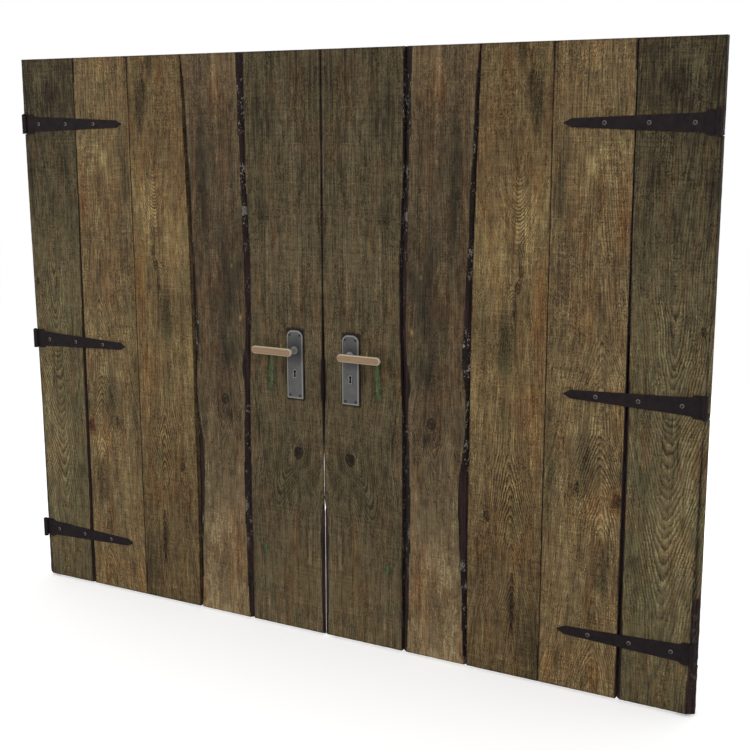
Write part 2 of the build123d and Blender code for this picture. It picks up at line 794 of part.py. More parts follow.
def grip(side, name, outside):
    """A flat bar with rounded ends and edges, set across the end of a neck."""
    bearing = 0.0 if outside else inner_bearing_start
    depth = bearing + (grip_thickness - lever_reach if outside else lever_reach - grip_thickness)
    middle = spindle_in + grip_past_spindle - grip_length / 2
    with BuildPart() as bar:
        with BuildSketch(leaf_plane(side, h=spindle_height, d=depth, s=middle)):
            SlotOverall(grip_length, grip_height)
        extrude(amount=grip_thickness, dir=to_viewer if outside else to_inside)
        ends = bar.faces().filter_by(Axis.Y)
        fillet(ends.edges(), grip_round)
    save(bar, f"{side_names[side]}_{name}")


# Lock case and keep case: flat boxes on the inside, over the spindle and the keyhole
def case_box(side):
    """The case without its slots: a box with rounded edges, a boss and a spindle bearing."""
    bottom = spindle_height - case_below_spindle
    with BuildPart() as box:
        middle = leaf_plane(side, h=bottom + case_height / 2, d=back, s=case_end - case_length / 2)
        with BuildSketch(middle):
            Rectangle(case_length, case_height)
        extrude(amount=case_depth, dir=to_inside)
        fillet(box.faces().sort_by(Axis.Y)[-1].edges(), case_round)
        with BuildSketch(leaf_plane(side, h=spindle_height, d=case_back, s=spindle_in)):
            Circle(boss_radius)
        extrude(amount=boss_height, dir=to_inside)
        with BuildSketch(leaf_plane(side, h=spindle_height, d=inner_bearing_start, s=spindle_in)):
            Circle(journal_radius + journal_clearance)
        extrude(amount=bearing_length, dir=to_inside, mode=Mode.SUBTRACT)
        with BuildSketch(leaf_plane(side, h=spindle_height, d=case_back, s=spindle_in)):
            with Locations(*case_screw_places()):
                Circle(plate_screw_radius + plate_screw_clearance)
        extrude(amount=case_depth, dir=to_viewer, mode=Mode.SUBTRACT)
        add(spindle_cutter(side), mode=Mode.SUBTRACT)
        add(keyhole_cutter(side, case_back + 1), mode=Mode.SUBTRACT)
    return box.part


def case_screw_places():
    """Centres of a case's screws, from the spindle."""
    seam_side = case_end - spindle_in - case_screw_inset
    hinge_side = case_start - spindle_in + case_screw_inset
    low = case_screw_inset - case_below_spindle
    high = case_height - case_below_spindle - case_screw_inset
    return [(x, y) for x in (hinge_side, seam_side) for y in (low, high)]


def bolt_block(side, h, length, height, thickness, clearance=0.0):
    """A bar in the case at height h, ending flush with the case's end at the seam."""
    with BuildPart() as bar:
        with BuildSketch(plan_plane(side, floor_gap + h - height / 2 - clearance)):
            with Locations((case_end, back + case_bolt_depth)):
                Rectangle(length + clearance, thickness + 2 * clearance, align=(Align.MAX, Align.CENTER))
        extrude(amount=height + 2 * clearance, dir=(0, 0, 1))
    return bar.part


def lock_case():
    with BuildPart() as case:
        add(case_box(-1))
        for h, length, height, thickness in (
            (spindle_height, latch_length, latch_height, latch_thickness),
            (keyhole_middle, dead_length, dead_height, dead_thickness),
        ):
            slot = bolt_block(-1, h, length, height, thickness, bolt_slot_clearance)
            add(slot, mode=Mode.SUBTRACT)
    save(case, "left_lock_case")


def keep_case():
    with BuildPart() as case:
        add(case_box(1))
        for h, height, thickness in (
            (spindle_height, latch_height, latch_thickness),
            (keyhole_middle, dead_height, dead_thickness),
        ):
            pocket = bolt_block(1, h, pocket_depth, height, thickness, pocket_clearance)
            add(pocket, mode=Mode.SUBTRACT)
    save(case, "right_keep_case")


def lock_bolts():
    with BuildPart() as latch:
        add(bolt_block(-1, spindle_height, latch_length, latch_height, latch_thickness))
        nose = latch.faces().sort_by(Axis.X)[-1].edges().sort_by(Axis.Y)[-1]
        chamfer(nose, latch_bevel)
    save(latch, "left_latch_bolt")
    with BuildPart() as dead:
        add(bolt_block(-1, keyhole_middle, dead_length, dead_height, dead_thickness))
        nose = dead.faces().sort_by(Axis.X)[-1].edges()
        chamfer(nose, dead_chamfer)
    save(dead, "left_dead_bolt")


# Sliding bolts on the right leaf: a plate with two hoops, and a rod with a knob
def slide_spots(plate_low):
    """Bottom of each of a plate's hoops."""
    return (plate_low + slide_hoop_inset, plate_low + slide_plate_length - slide_hoop_inset - slide_hoop_length)


def slide_plate(name, plate_low):
    with BuildPart() as plate:
        with BuildSketch(plan_plane(1, plate_low, s=slide_in, d=back)):
            Rectangle(slide_plate_width, slide_plate_thickness, align=(Align.CENTER, Align.MIN))
        extrude(amount=slide_plate_length, dir=(0, 0, 1))
        for low in slide_spots(plate_low):
            with BuildSketch(plan_plane(1, low, s=slide_in, d=slide_depth)):
                Circle(slide_hoop_radius)
                hoop_foot = slide_rod_lift + slide_plate_thickness / 4
                Rectangle(2 * slide_hoop_radius, hoop_foot, align=(Align.CENTER, Align.MAX))
                Circle(slide_rod_radius + slide_rod_clearance, mode=Mode.SUBTRACT)
            extrude(amount=slide_hoop_length, dir=(0, 0, 1))
        with BuildSketch(leaf_plane(1, d=back)):
            with Locations(*slide_screw_places(plate_low)):
                Circle(plate_screw_radius + plate_screw_clearance)
        extrude(amount=slide_plate_thickness, dir=to_inside, mode=Mode.SUBTRACT)
    save(plate, f"right_{name}_slide_plate")


def slide_screw_places(plate_low):
    """Centres of a sliding bolt's plate screws, as s and h on the leaf."""
    across = slide_plate_width / 2 - 2 * plate_screw_radius
    low, high = slide_spots(plate_low)
    heights = (low + slide_hoop_length + slide_hoop_inset - floor_gap, high - slide_hoop_inset - floor_gap)
    return [(slide_in + x, h) for x in (-across, across) for h in heights]


def slide_rod(name, rod_low, plate_low, knob_share):
    knob_z = plate_low + slide_plate_length * knob_share
    with BuildPart() as rod:
        with BuildSketch(plan_plane(1, rod_low, s=slide_in, d=slide_depth)):
            Circle(slide_rod_radius)
        extrude(amount=slide_rod_length, dir=(0, 0, 1))
        ends = rod.edges().filter_by(GeomType.CIRCLE)
        chamfer(ends, slide_rod_chamfer)
        with BuildSketch(leaf_plane(1, h=knob_z - floor_gap, d=slide_depth, s=slide_in)):
            Circle(slide_knob_radius)
        extrude(amount=slide_knob_reach, dir=to_inside)
        with Locations((place_x(1, slide_in), face_y + slide_depth + slide_knob_reach, knob_z)):
            Sphere(slide_knob_ball)
    save(rod, f"right_{name}_slide_rod")


# Small screws on each leaf: in the lever plate, in the case and in the sliding bolts
def small_screws(side):
    with BuildPart() as group:
        front = [(spindle_in + x, spindle_height + y) for x, y in plate_screw_places()]
        case = [(spindle_in + x, spindle_height + y) for x, y in case_screw_places()]
        sets = [
            (front, plate_rim_height - plate_thickness, to_viewer),
            (case, case_back, to_inside),
        ]
        if side == 1:
            slides = slide_screw_places(top_plate_low) + slide_screw_places(bottom_plate_low)
            sets.append((slides, back + slide_plate_thickness, to_inside))
        for places, seat, outwards in sets:
            inwards = to_inside if outwards == to_viewer else to_viewer
            with BuildSketch(leaf_plane(side, d=seat)):
                with Locations(*places):
                    Circle(plate_screw_radius)
            length = plate_screw_length + (case_depth if seat == case_back else 0.0)
            extrude(amount=length, dir=inwards)
            with BuildSketch(leaf_plane(side, d=seat)):
                with Locations(*places):
                    Circle(plate_screw_head_radius)
            extrude(amount=plate_screw_head_height, dir=outwards)
    save(group, f"{side_names[side]}_small_screws")


for side in side_names:
    planks(side)
    post(side)
    nails(side)
    strap_bolts(side)
    small_screws(side)
    lever_plate(side)
    brace(side, "lower", "bottom", "middle")
    brace(side, "upper", "middle", "top")
    for where in straps:
        ledge(side, where)
        strap(side, where)
        hook(side, where)
    for outside, inside_word in ((True, ""), (False, "inside_")):
        neck(side, f"{inside_word}lever_neck", outside)
        grip(side, f"{inside_word}lever_grip", outside)

head()
frame_screws()
lock_case()
keep_case()
lock_bolts()
slide_plate("top", top_plate_low)
slide_plate("bottom", bottom_plate_low)
slide_rod("top", top_rod_low, top_plate_low, top_knob_share)
slide_rod("bottom", bottom_rod_low, bottom_plate_low, bottom_knob_share)
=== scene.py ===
# %% [markdown]
# # A double barn door of weathered planks
# This lesson dresses a measured barn door: two leaves of rough planks, hung on long iron straps.
# The measured solids come first and are never moved. Everything that is made here either gives
# one of them a finish, or stands in for one whose real surface is too rough for a plain solid.

# %% Load the measured door
import json
import math
import bpy
import numpy as np
from mathutils import Matrix, Vector


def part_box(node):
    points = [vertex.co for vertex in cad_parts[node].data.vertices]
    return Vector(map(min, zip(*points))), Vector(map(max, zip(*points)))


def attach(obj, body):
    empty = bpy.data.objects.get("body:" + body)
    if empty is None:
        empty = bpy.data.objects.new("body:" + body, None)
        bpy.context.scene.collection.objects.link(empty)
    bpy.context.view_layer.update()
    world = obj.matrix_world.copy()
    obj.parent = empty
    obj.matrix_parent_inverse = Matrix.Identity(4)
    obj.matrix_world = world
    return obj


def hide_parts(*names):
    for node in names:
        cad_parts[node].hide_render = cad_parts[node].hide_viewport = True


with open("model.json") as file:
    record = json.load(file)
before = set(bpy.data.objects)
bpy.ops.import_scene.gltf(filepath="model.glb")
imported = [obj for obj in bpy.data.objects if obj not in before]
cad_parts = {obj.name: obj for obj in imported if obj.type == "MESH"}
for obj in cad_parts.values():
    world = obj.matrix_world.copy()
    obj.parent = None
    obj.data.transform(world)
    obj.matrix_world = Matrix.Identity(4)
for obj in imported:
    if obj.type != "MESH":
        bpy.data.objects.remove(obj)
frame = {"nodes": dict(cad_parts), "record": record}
scene = bpy.context.scene
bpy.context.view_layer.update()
bpy.ops.object.select_all(action="DESELECT")

# %% [markdown]
# ## Measures
# All lengths below are in millimetres and are turned to metres by one factor. A leaf is described
# by s, the distance in from its hinge edge, and h, the height above its lower edge. Both leaves
# share these, because the right one is a mirror image of the left.

# %% Measures
mm = 0.001
outer_low, outer_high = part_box("left_outer_plank")
door_half = -outer_low.x / mm
leaf_bottom = outer_low.z / mm
leaf_height = (outer_high.z - outer_low.z) / mm
face_depth = outer_low.y / mm
sides = ("left", "right")
print("half width", round(door_half), "leaf height", round(leaf_height))

# %% [markdown]
# ## Small helpers
# Colours are written as on a paint chart, in sRGB, and one function turns them to the linear
# values that a render needs. Another one adds a node with its settings and its links.

# %% Colour and node helpers
# Settings that many nodes share
add = {"operation": "ADD"}
subtract = {"operation": "SUBTRACT"}
multiply = {"operation": "MULTIPLY"}
multiply_add = {"operation": "MULTIPLY_ADD"}
blend = {"data_type": "RGBA"}
stain = {"data_type": "RGBA", "blend_type": "MULTIPLY"}


def linear(code):
    """A linear colour from six sRGB hex digits."""
    values = [int(code[i:i + 2], 16) / 255 for i in (0, 2, 4)]
    return [v / 12.92 if v <= 0.04045 else ((v + 0.055) / 1.055) ** 2.4 for v in values] + [1.0]


def socket(sockets, key):
    """A node's socket by its number, or by its name among those in use."""
    if isinstance(key, int):
        return sockets[key]
    return next(s for s in sockets if s.enabled and s.name == key)


def feed(tree, node, feeds):
    """Sets or links a node's sockets, by name or number, or as a list in their own order."""
    for key, source in feeds.items() if isinstance(feeds, dict) else enumerate(feeds):
        target = socket(node.inputs, key)
        if isinstance(source, bpy.types.Node):
            source = next(s for s in source.outputs if s.enabled)
        if isinstance(source, bpy.types.NodeSocket):
            tree.links.new(source, target)
        else:
            target.default_value = source


def put(tree, kind, settings=None, feeds=(), stops=()):
    """Adds a shader node of that kind, with its settings, what feeds its sockets, and a ramp's stops.

    A stop has a place and either a linear colour or one number for a grey.
    """
    node = tree.nodes.new("ShaderNode" + kind)
    for name, value in (settings or {}).items():
        setattr(node, name, value)
    feed(tree, node, feeds)
    for number, (place, colour) in enumerate(stops):
        marks = node.color_ramp.elements
        mark = marks[number] if number < 2 else marks.new(place)
        mark.position = place
        mark.color = (colour, colour, colour, 1.0) if isinstance(colour, float) else colour
    return node


def new_material(name):
    """A material with a Principled shader; gives the material, its tree and the shader."""
    material = bpy.data.materials.new(name)
    material.use_nodes = True
    tree = material.node_tree
    return material, tree, tree.nodes["Principled BSDF"]


def squareness(tree):
    """1 where a face looks straight to the front or the back, falling to 0 where it looks aside."""
    normal = put(tree, "NewGeometry").outputs["Normal"]
    facing = put(tree, "SeparateXYZ", feeds=[normal])
    return put(tree, "Math", {"operation": "ABSOLUTE"}, [facing.outputs["Y"]])


# %% [markdown]
# ## The grain of a board
# A board is sawn at a slight lean through a trunk's yearly rings. Along its heart line the saw climbs
# from one ring into the next, and there they show as nested arches; to both sides they run as long
# lines. So each board gets one number per vertex: how many rings lie between it and its heart line,
# plus those that the cut has climbed through. A knot adds rings of its own. The material then only
# has to draw a dark line at each whole number.

# %% Smooth random values, the same at each run
hash_primes = np.array((73856093, 19349663, 83492791))


def soft_noise(points, cell, seed):
    """Smooth random values from -1 to 1, which change over about one cell, in mm."""
    grid = points / np.array(cell, float)
    base = np.floor(grid).astype(np.int64)
    part = grid - base
    part = part * part * (3 - 2 * part)
    total = np.zeros(len(points))
    for corner in np.ndindex(2, 2, 2):
        # Large primes make one number of the corner's three, and a usual noise formula scatters it
        x, y, z = ((base + np.array(corner)) * hash_primes).T
        code = (x ^ y ^ z ^ (seed * 9176)) & 0xFFFFF
        code = (code * (code * code * 15731 + 789221) + 1376312589) & 0x7FFFFFFF
        weight = np.prod(np.where(corner, part, 1 - part), axis=1)
        total += weight * (code / 0x3FFFFFFF - 1)
    return total


def fade(values, full, none):
    """1 at full and beyond, falling evenly to 0 at none. Full may be the larger or the smaller."""
    return np.clip((none - values) / (none - full), 0, 1)


def bell(along, up, spot):
    """A soft round spot, 1 in its middle: s, h, half width and half height."""
    s, h, half_width, half_height = spot
    return np.exp(-((along - s) / half_width) ** 2 - ((up - h) / half_height) ** 2)


def spots_of(along, up, spots):
    """The sum of soft spots, each given as s, h, half width, half height and amount."""
    return sum((amount * bell(along, up, spot) for *spot, amount in spots), np.zeros(len(up)))


def eye_values(along, up, eyes):
    """1 in the middle of a knot's eye, falling evenly to 0 a little outside its rim."""
    value = np.zeros(len(up))
    for s, h, half_width, half_height in eyes:
        value = np.maximum(value, 1.15 - np.hypot((along - s) / half_width, (up - h) / half_height))
    return value


def ring_count(along, up, grain, seed):
    """Rings between each point and the heart line, and those that the cut has climbed through."""
    points = np.stack([along, np.zeros(len(up)), up], axis=1)
    # No tree grows evenly: the heart line strays by up to 6 mm, and the climb by up to 4 mm
    centre = np.interp(up, *zip(*grain["heart"])) + 6 * soft_noise(points, (900, 900, 240), seed)
    climb = np.interp(up, *zip(*grain["climb"])) + 4 * soft_noise(points, (60, 90, 90), seed + 1)
    rounding = np.interp(up, *zip(*grain["round"]))
    rings = (np.hypot(along - centre, rounding) + climb) / np.interp(up, *zip(*grain["ring"]))
    for s, h, size, pull in grain["knots"]:
        rings += pull * bell(along, up, (s, h, size, size * 1.5))
    return rings


# %% [markdown]
# ## What each board looks like
# The five boards of a leaf differ in colour and figure, so each has its own short description.
# Five rows are tables by height h: bands says how light the board is, heart where its heart line
# runs, climb how the cut climbs (falling values give arches that point down, rising values arches
# that point up), round how blunt the arches are, and ring how wide a ring is, in mm.
# The knots that bend the rings are given as s, h, size and strength, and a knot's eye as s, h, half
# width and half height. The last four rows are soft spots, each given as s, h, half width, half
# height and amount: where the arches show most, and where the wood is lighter, warmer or greener.

# %% The five boards
boards = {
    "outer": {
        "bands": [(0, 0.04), (130, 0.05), (390, 0.1), (650, 0.13), (920, 0.06), (1180, 0.06),
                  (1440, -0.04), (1700, -0.13), (1960, -0.17)],
        "ring": [(0, 8.0)],
        "round": [(0, 20), (400, 36), (900, 40), (1100, 14), (2100, 8)],
        "heart": [(0, 124), (430, 118), (900, 112), (1250, 118), (1500, 122), (2100, 92)],
        "climb": [(0, 210), (350, 178), (1000, 30), (1350, -10), (2100, -35)],
        "knots": [(26, 1233, 14, 2.0)],
        "eyes": [(26, 1233, 7, 10)],
        "figure": [(128, 640, 110, 400, 0.75), (115, 1240, 70, 140, 0.6), (40, 800, 40, 600, 0.5),
                   (120, 1530, 50, 90, 0.3)],
        "light": [
            (74, 2030, 20, 44, 0.16), (119, 1955, 30, 50, -0.12), (14, 620, 4, 330, -0.4),
            (159, 1964, 30, 60, -0.1), (50, 700, 30, 330, 0.1), (220, 478, 18, 18, -0.16),
            (208, 732, 34, 70, -0.1), (123, 1225, 20, 34, -0.16), (123, 1540, 14, 40, -0.12),
            (190, 1698, 50, 60, -0.08), (128, 560, 50, 130, 0.06), (20, 1700, 16, 500, -0.1),
        ],
        "warm": [(93, 544, 60, 90, 0.26), (180, 1700, 60, 60, 0.16), (30, 860, 20, 160, 0.2)],
        "green": [(215, 1490, 30, 110, 0.5), (208, 732, 34, 80, 0.6), (200, 420, 60, 200, 0.4),
                  (56, 2000, 50, 100, 0.5)],
    },
    "second": {
        "bands": [(0, 0.08), (260, 0.04), (1000, 0.02), (1440, -0.03), (1700, 0.04), (2100, -0.04)],
        "ring": [(0, 7.5)],
        "round": [(0, 20), (600, 14), (800, 18), (2100, 12)],
        "heart": [(0, 348), (300, 336), (630, 325), (760, 335), (1000, 340), (1200, 350),
                  (1700, 372), (2100, 385)],
        "climb": [(0, 0), (180, 45), (600, 75), (880, 165), (1000, 175), (1180, 225), (2100, 270)],
        "knots": [(281, 668, 18, 2.5), (411, 696, 14, 2.0), (317, 600, 24, 1.6),
                  (325, 430, 26, -2.2), (330, 340, 20, 1.6)],
        "eyes": [(411, 696, 6, 17)],
        "figure": [(335, 760, 85, 150, 1.1), (320, 560, 60, 110, 0.6), (345, 130, 80, 130, 0.6),
                   (352, 1130, 50, 120, 0.6), (330, 1500, 60, 300, 0.25)],
        "light": [
            (498, 1700, 22, 150, -0.16), (387, 1722, 18, 40, 0.3), (366, 1625, 12, 44, -0.22),
            (396, 1995, 12, 18, -0.22), (390, 810, 24, 80, -0.2), (390, 480, 14, 60, -0.16),
            (322, 600, 26, 50, 0.24), (278, 664, 12, 26, -0.4), (322, 425, 30, 90, -0.22),
            (400, 2060, 60, 60, 0.1), (390, 1243, 20, 30, 0.12), (487, 1425, 20, 120, -0.08),
            (345, 1290, 30, 40, -0.1), (300, 160, 40, 110, 0.06), (470, 90, 10, 60, -0.14),
            (430, 900, 60, 60, 0.08), (510, 750, 16, 300, -0.05),
        ],
        "warm": [
            (430, 1594, 30, 140, 0.26), (300, 1560, 30, 120, 0.33), (281, 668, 18, 40, 1.04),
            (508, 60, 16, 120, 0.45), (390, 100, 110, 80, 0.33), (276, 300, 14, 200, 0.26),
            (350, 640, 50, 60, 0.26),
        ],
        "green": [(498, 1700, 26, 160, 0.6), (390, 810, 34, 110, 0.6), (322, 430, 34, 100, 0.5),
                  (508, 760, 22, 260, 0.7)],
    },
    "third": {
        "bands": [(0, -0.07), (300, -0.06), (650, 0.0), (910, 0.06), (1180, 0.0), (1440, 0.08),
                  (1700, -0.02), (2100, -0.04)],
        "ring": [(900, 7.5), (1350, 4.0)],
        "round": [(0, 8), (700, 12), (1300, 12), (1460, 40), (2100, 30)],
        "heart": [(0, 634), (300, 634), (500, 640), (757, 650), (1100, 650), (1600, 626),
                  (1750, 625), (2100, 600)],
        "climb": [(0, -132), (200, -112), (345, -72), (440, -66), (780, 0), (900, 4), (1400, 4),
                  (1470, 0), (1700, -66), (2100, -80)],
        "knots": [(726, 555, 18, 2.5), (634, 1330, 26, 3.6), (606, 423, 20, 1.6),
                  (655, 1420, 26, -3.0), (600, 1250, 24, 3.0)],
        "eyes": [(726, 553, 9, 16), (632, 1330, 7, 16)],
        "figure": [(650, 640, 75, 190, 1.35), (630, 230, 50, 150, 0.7), (625, 1600, 60, 120, 0.9),
                   (610, 1330, 60, 180, 0.7), (600, 1980, 40, 100, 0.5)],
        "light": [
            (632, 2074, 16, 40, -0.16), (596, 1995, 10, 56, -0.28), (578, 1928, 18, 80, -0.2),
            (602, 1590, 70, 130, 0.12), (650, 1440, 26, 40, -0.16), (622, 1400, 6, 50, -0.3),
            (640, 1270, 7, 60, -0.3), (596, 1243, 8, 18, -0.4), (669, 1140, 24, 90, -0.24),
            (547, 1473, 14, 60, -0.14), (560, 1260, 24, 110, 0.1), (572, 751, 5, 18, 0.4),
            (669, 908, 20, 80, -0.1), (632, 240, 8, 95, -0.42), (729, 590, 24, 30, -0.14),
            (756, 330, 18, 50, -0.14), (566, 120, 40, 130, -0.12), (702, 1807, 24, 60, -0.1),
            (720, 1380, 40, 120, 0.08), (756, 1212, 16, 90, -0.1),
        ],
        "warm": [
            (572, 860, 40, 160, 0.4), (675, 2030, 20, 90, 0.39), (744, 1625, 30, 110, 0.3),
            (608, 423, 20, 44, 0.52), (608, 1770, 40, 80, 0.33), (560, 1260, 24, 150, 0.39),
            (738, 435, 14, 60, 0.39), (545, 1100, 16, 200, 0.33),
        ],
        "green": [(669, 1140, 34, 110, 0.7), (578, 1940, 26, 100, 0.6), (566, 140, 44, 150, 0.6),
                  (669, 908, 24, 90, 0.5), (632, 2074, 20, 50, 0.6), (756, 1212, 20, 90, 0.5)],
    },
    "fourth": {
        "bands": [(0, 0.28), (400, 0.16), (600, 0.05), (800, -0.03), (1310, -0.1), (1900, -0.08),
                  (2080, 0.05)],
        "ring": [(0, 8.0)],
        "round": [(0, 12)],
        "heart": [(0, 905), (500, 915), (845, 938), (1300, 930), (2100, 925)],
        "climb": [(0, 90), (560, 78), (830, 20), (1000, 46), (2100, 80)],
        "knots": [(938, 845, 26, 2.2)],
        "eyes": [(938, 846, 15, 17)],
        "figure": [(930, 770, 80, 110, 0.4)],
        "light": [
            (866, 2030, 8, 50, -0.3), (832, 2031, 8, 40, -0.2), (860, 1660, 22, 190, -0.2),
            (944, 1830, 24, 50, -0.08), (968, 1240, 44, 200, -0.14), (1015, 1158, 5, 12, 0.6),
            (981, 1346, 4, 6, 0.6), (920, 2015, 40, 80, 0.1), (957, 1005, 50, 50, -0.18),
            (957, 790, 34, 22, -0.18), (962, 563, 14, 14, -0.1), (866, 314, 22, 50, 0.14),
            (950, 896, 4, 12, 0.2), (930, 893, 3, 10, 0.2), (908, 1300, 24, 60, 0.08),
            (884, 750, 20, 60, 0.06),
        ],
        "warm": [(826, 1530, 12, 300, 0.52), (981, 240, 30, 110, 0.59), (920, 1960, 50, 120, 0.26),
                 (853, 1200, 30, 80, 0.45), (902, 1035, 16, 30, 0.59), (908, 1300, 30, 80, 0.33)],
        "green": [(860, 1660, 30, 220, 0.8), (968, 1240, 50, 220, 0.6), (845, 510, 14, 90, 0.5)],
    },
    "inner": {
        "bands": [(0, 0.1), (200, 0.08), (400, -0.02), (650, -0.03), (910, 0.0), (1300, -0.01),
                  (1700, -0.07), (2100, -0.1)],
        "ring": [(0, 8.0)],
        "round": [(0, 24)],
        "heart": [(0, 1180), (484, 1174), (560, 1192), (660, 1232), (760, 1240), (1200, 1205),
                  (2100, 1210)],
        "climb": [(0, 110), (440, 104), (660, 50), (760, 44), (2100, 60)],
        "knots": [(1260, 678, 20, 2.2), (1108, 1528, 30, 2.0)],
        "eyes": [(1260, 678, 17, 19)],
        "figure": [(1190, 560, 85, 95, 1.1), (1250, 700, 40, 60, 0.4)],
        "light": [
            (1260, 678, 16, 18, -0.32), (1108, 1880, 30, 120, -0.1), (1114, 1528, 28, 44, -0.24),
            (1333, 1989, 20, 60, -0.08), (1250, 1440, 60, 90, 0.05), (1139, 1698, 30, 40, 0.04),
            (1276, 700, 26, 20, -0.12), (1211, 985, 32, 26, -0.1), (1169, 830, 40, 60, -0.05),
            (1308, 520, 40, 110, -0.07), (1250, 190, 90, 160, 0.05), (1182, 1440, 4, 22, 0.2),
            (1178, 560, 40, 40, 0.07), (1302, 375, 4, 10, 0.2),
        ],
        "warm": [(1260, 678, 16, 18, 0.8), (1139, 1698, 40, 60, 0.33), (1250, 180, 70, 150, 0.33),
                 (1300, 1900, 30, 160, 0.13), (1120, 480, 30, 90, 0.2), (1166, 80, 5, 90, 0.65)],
        "green": [
            (1149, 975, 14, 52, 2.5), (1144, 925, 13, 26, 1.9), (1108, 290, 9, 19, 3.6),
            (1100, 1880, 30, 90, 0.7), (1333, 1989, 24, 70, 0.6), (1240, 560, 60, 70, 0.3),
            (1151, 1035, 11, 24, 2.0),
        ],
    },
}
print(len(boards), "boards described")

# %% [markdown]
# ## Weathered wood
# Old rough-sawn boards are matt and dull: fibres stand up in fine upright lines, the saw leaves faint
# level lines, and rain draws grey and brown streaks along the grain. Each of these is one noise
# pattern, stretched to the size of the real mark. The finest fibres are under 1 mm wide and would
# vanish at this distance, so they are drawn about 3 mm wide, and the rings 4 to 8 mm.


# %% Patterns and their sums
def pattern(tree, where, cell, detail, roughness=0.55):
    """Noise that changes over about one cell, given in mm along x, y and z."""
    stretched = put(tree, "VectorMath", multiply, [where, [1 / (size * mm) for size in cell]])
    return put(tree, "TexNoise", feeds={
        "Vector": stretched, "Scale": 1.0, "Detail": detail, "Roughness": roughness})


def sum_of(tree, parts, start):
    """The start value, plus each source times its amount."""
    total = start
    for source, amount in parts:
        total = put(tree, "Math", multiply_add, [source, amount, total])
    return total


# %% Rings and knots
def ring_marks(tree, height, shift, wander):
    """What follows the rings: soft uneven bands, and a thin dark line at the end of each year.

    The bands are the uneven early and late wood: noise of 1.2 cells per ring, and 1.6 per metre of
    height. The line has a pale one after it, and wanders by the given patterns and amounts.
    """
    rings = put(tree, "Attribute", {"attribute_name": "rings"}).outputs["Fac"]
    along_rings = put(tree, "CombineXYZ", feeds=[rings, height, shift])
    banding = put(tree, "VectorMath", multiply, [along_rings, (1.2, 1.6, 1.0)])
    bands = put(tree, "TexNoise", feeds={
        "Vector": banding, "Scale": 1.0, "Detail": 4.0, "Roughness": 0.7})
    phase = put(tree, "Math", {"operation": "FRACT"}, [sum_of(tree, wander, rings)])
    line = put(tree, "ValToRGB", feeds=[phase], stops=[
        (0.0, 0.9), (1.0, 0.95), (0.35, 0.62), (0.82, 0.0)])
    return bands, put(tree, "Math", subtract, [line, 0.6])


def knot_eye(tree, wobble):
    """A knot's eye: a dark rim, paler rings and a dark core. It is 1 on clear wood."""
    eye = put(tree, "Attribute", {"attribute_name": "eye"}).outputs["Fac"]
    eye = put(tree, "Math", subtract, [eye, 0.3])
    return put(tree, "ValToRGB", feeds=[sum_of(tree, wobble, eye)], stops=[
        (0.0, 1.0), (1.0, 0.5), (0.16, 0.45), (0.36, 0.85), (0.5, 0.6), (0.7, 0.75)])


# %% Stains and bark
def stained(tree, turned, colour, spots, mottle):
    """The colour with warm stains, greenish grey mould, and a few strokes of green algae."""
    warm = pattern(tree, turned, (36.0, 50.0, 170.0), 5.0)
    warm = put(tree, "MapRange", feeds=[warm, 0.48, 0.72, 0.0, 0.6])
    warm = put(tree, "Math", {"operation": "ADD", "use_clamp": True}, [
        warm, spots.outputs["Y"]])
    colour = put(tree, "Mix", stain, {"Factor": warm, "A": colour, "B": linear("ffd9bd")})
    grown = put(tree, "MapRange", feeds=[mottle, 0.35, 0.65, 0.5, 1.5])
    grown = put(tree, "Math", multiply, [spots.outputs["Z"], grown])
    mould = pattern(tree, turned, (50.0, 80.0, 120.0), 5.0)
    mould = put(tree, "MapRange", feeds=[mould, 0.5, 0.74, 0.0, 0.6])
    mould = put(tree, "Math", add, [mould, grown])
    dull = put(tree, "Math", {"operation": "MINIMUM"}, [mould, 1.0])
    colour = put(tree, "Mix", stain, {"Factor": dull, "A": colour, "B": linear("d3e2df")})
    algae = put(tree, "MapRange", feeds=[mould, 1.2, 4.2, 0.0, 0.42])
    return put(tree, "Mix", blend, {"Factor": algae, "A": colour, "B": linear("4a7a52")})


def with_bark(tree, turned, colour):
    """The colour with bark over it, how much bark there is (0 to 1), and the bark's crust.

    Bark is smooth and dark reddish brown where its value is 1, and rough with pale flakes at 2.
    """
    bark = put(tree, "Attribute", {"attribute_name": "bark"}).outputs["Fac"]
    crust = pattern(tree, turned, (8.0, 8.0, 12.0), 5.0, 0.7)
    smooth_bark = put(tree, "ValToRGB", feeds=[pattern(tree, turned, (4.5, 4.5, 160.0), 3.0)],
                      stops=[(0.38, linear("100908")), (0.62, linear("2f1f1c"))])
    rough_bark = put(tree, "ValToRGB", feeds=[crust], stops=[
        (0.35, linear("0a0706")), (0.75, linear("33271f")), (0.52, linear("18100d"))])
    flakes = sum_of(tree, [(pattern(tree, turned, (5.5, 5.5, 8.0), 1.5), 1.0),
                           (pattern(tree, turned, (30.0, 30.0, 55.0), 2.0), 1.1)], -0.55)
    flakes = put(tree, "MapRange", feeds=[flakes, 0.6, 0.68, 0.0, 0.8])
    rough_bark = put(tree, "Mix", blend, {
        "Factor": flakes, "A": rough_bark, "B": linear("7d776c")})
    roughness = put(tree, "MapRange", feeds=[bark, 1.1, 1.8, 0.0, 1.0])
    bark_colour = put(tree, "Mix", blend, {
        "Factor": roughness, "A": smooth_bark, "B": rough_bark})
    ragged = put(tree, "Math", multiply_add, [crust, 0.5, bark])
    edge = put(tree, "MapRange", feeds=[ragged, 0.8, 0.95, 0.0, 1.0])
    colour = put(tree, "Mix", blend, {"Factor": edge, "A": colour, "B": bark_colour})
    return colour, edge, crust


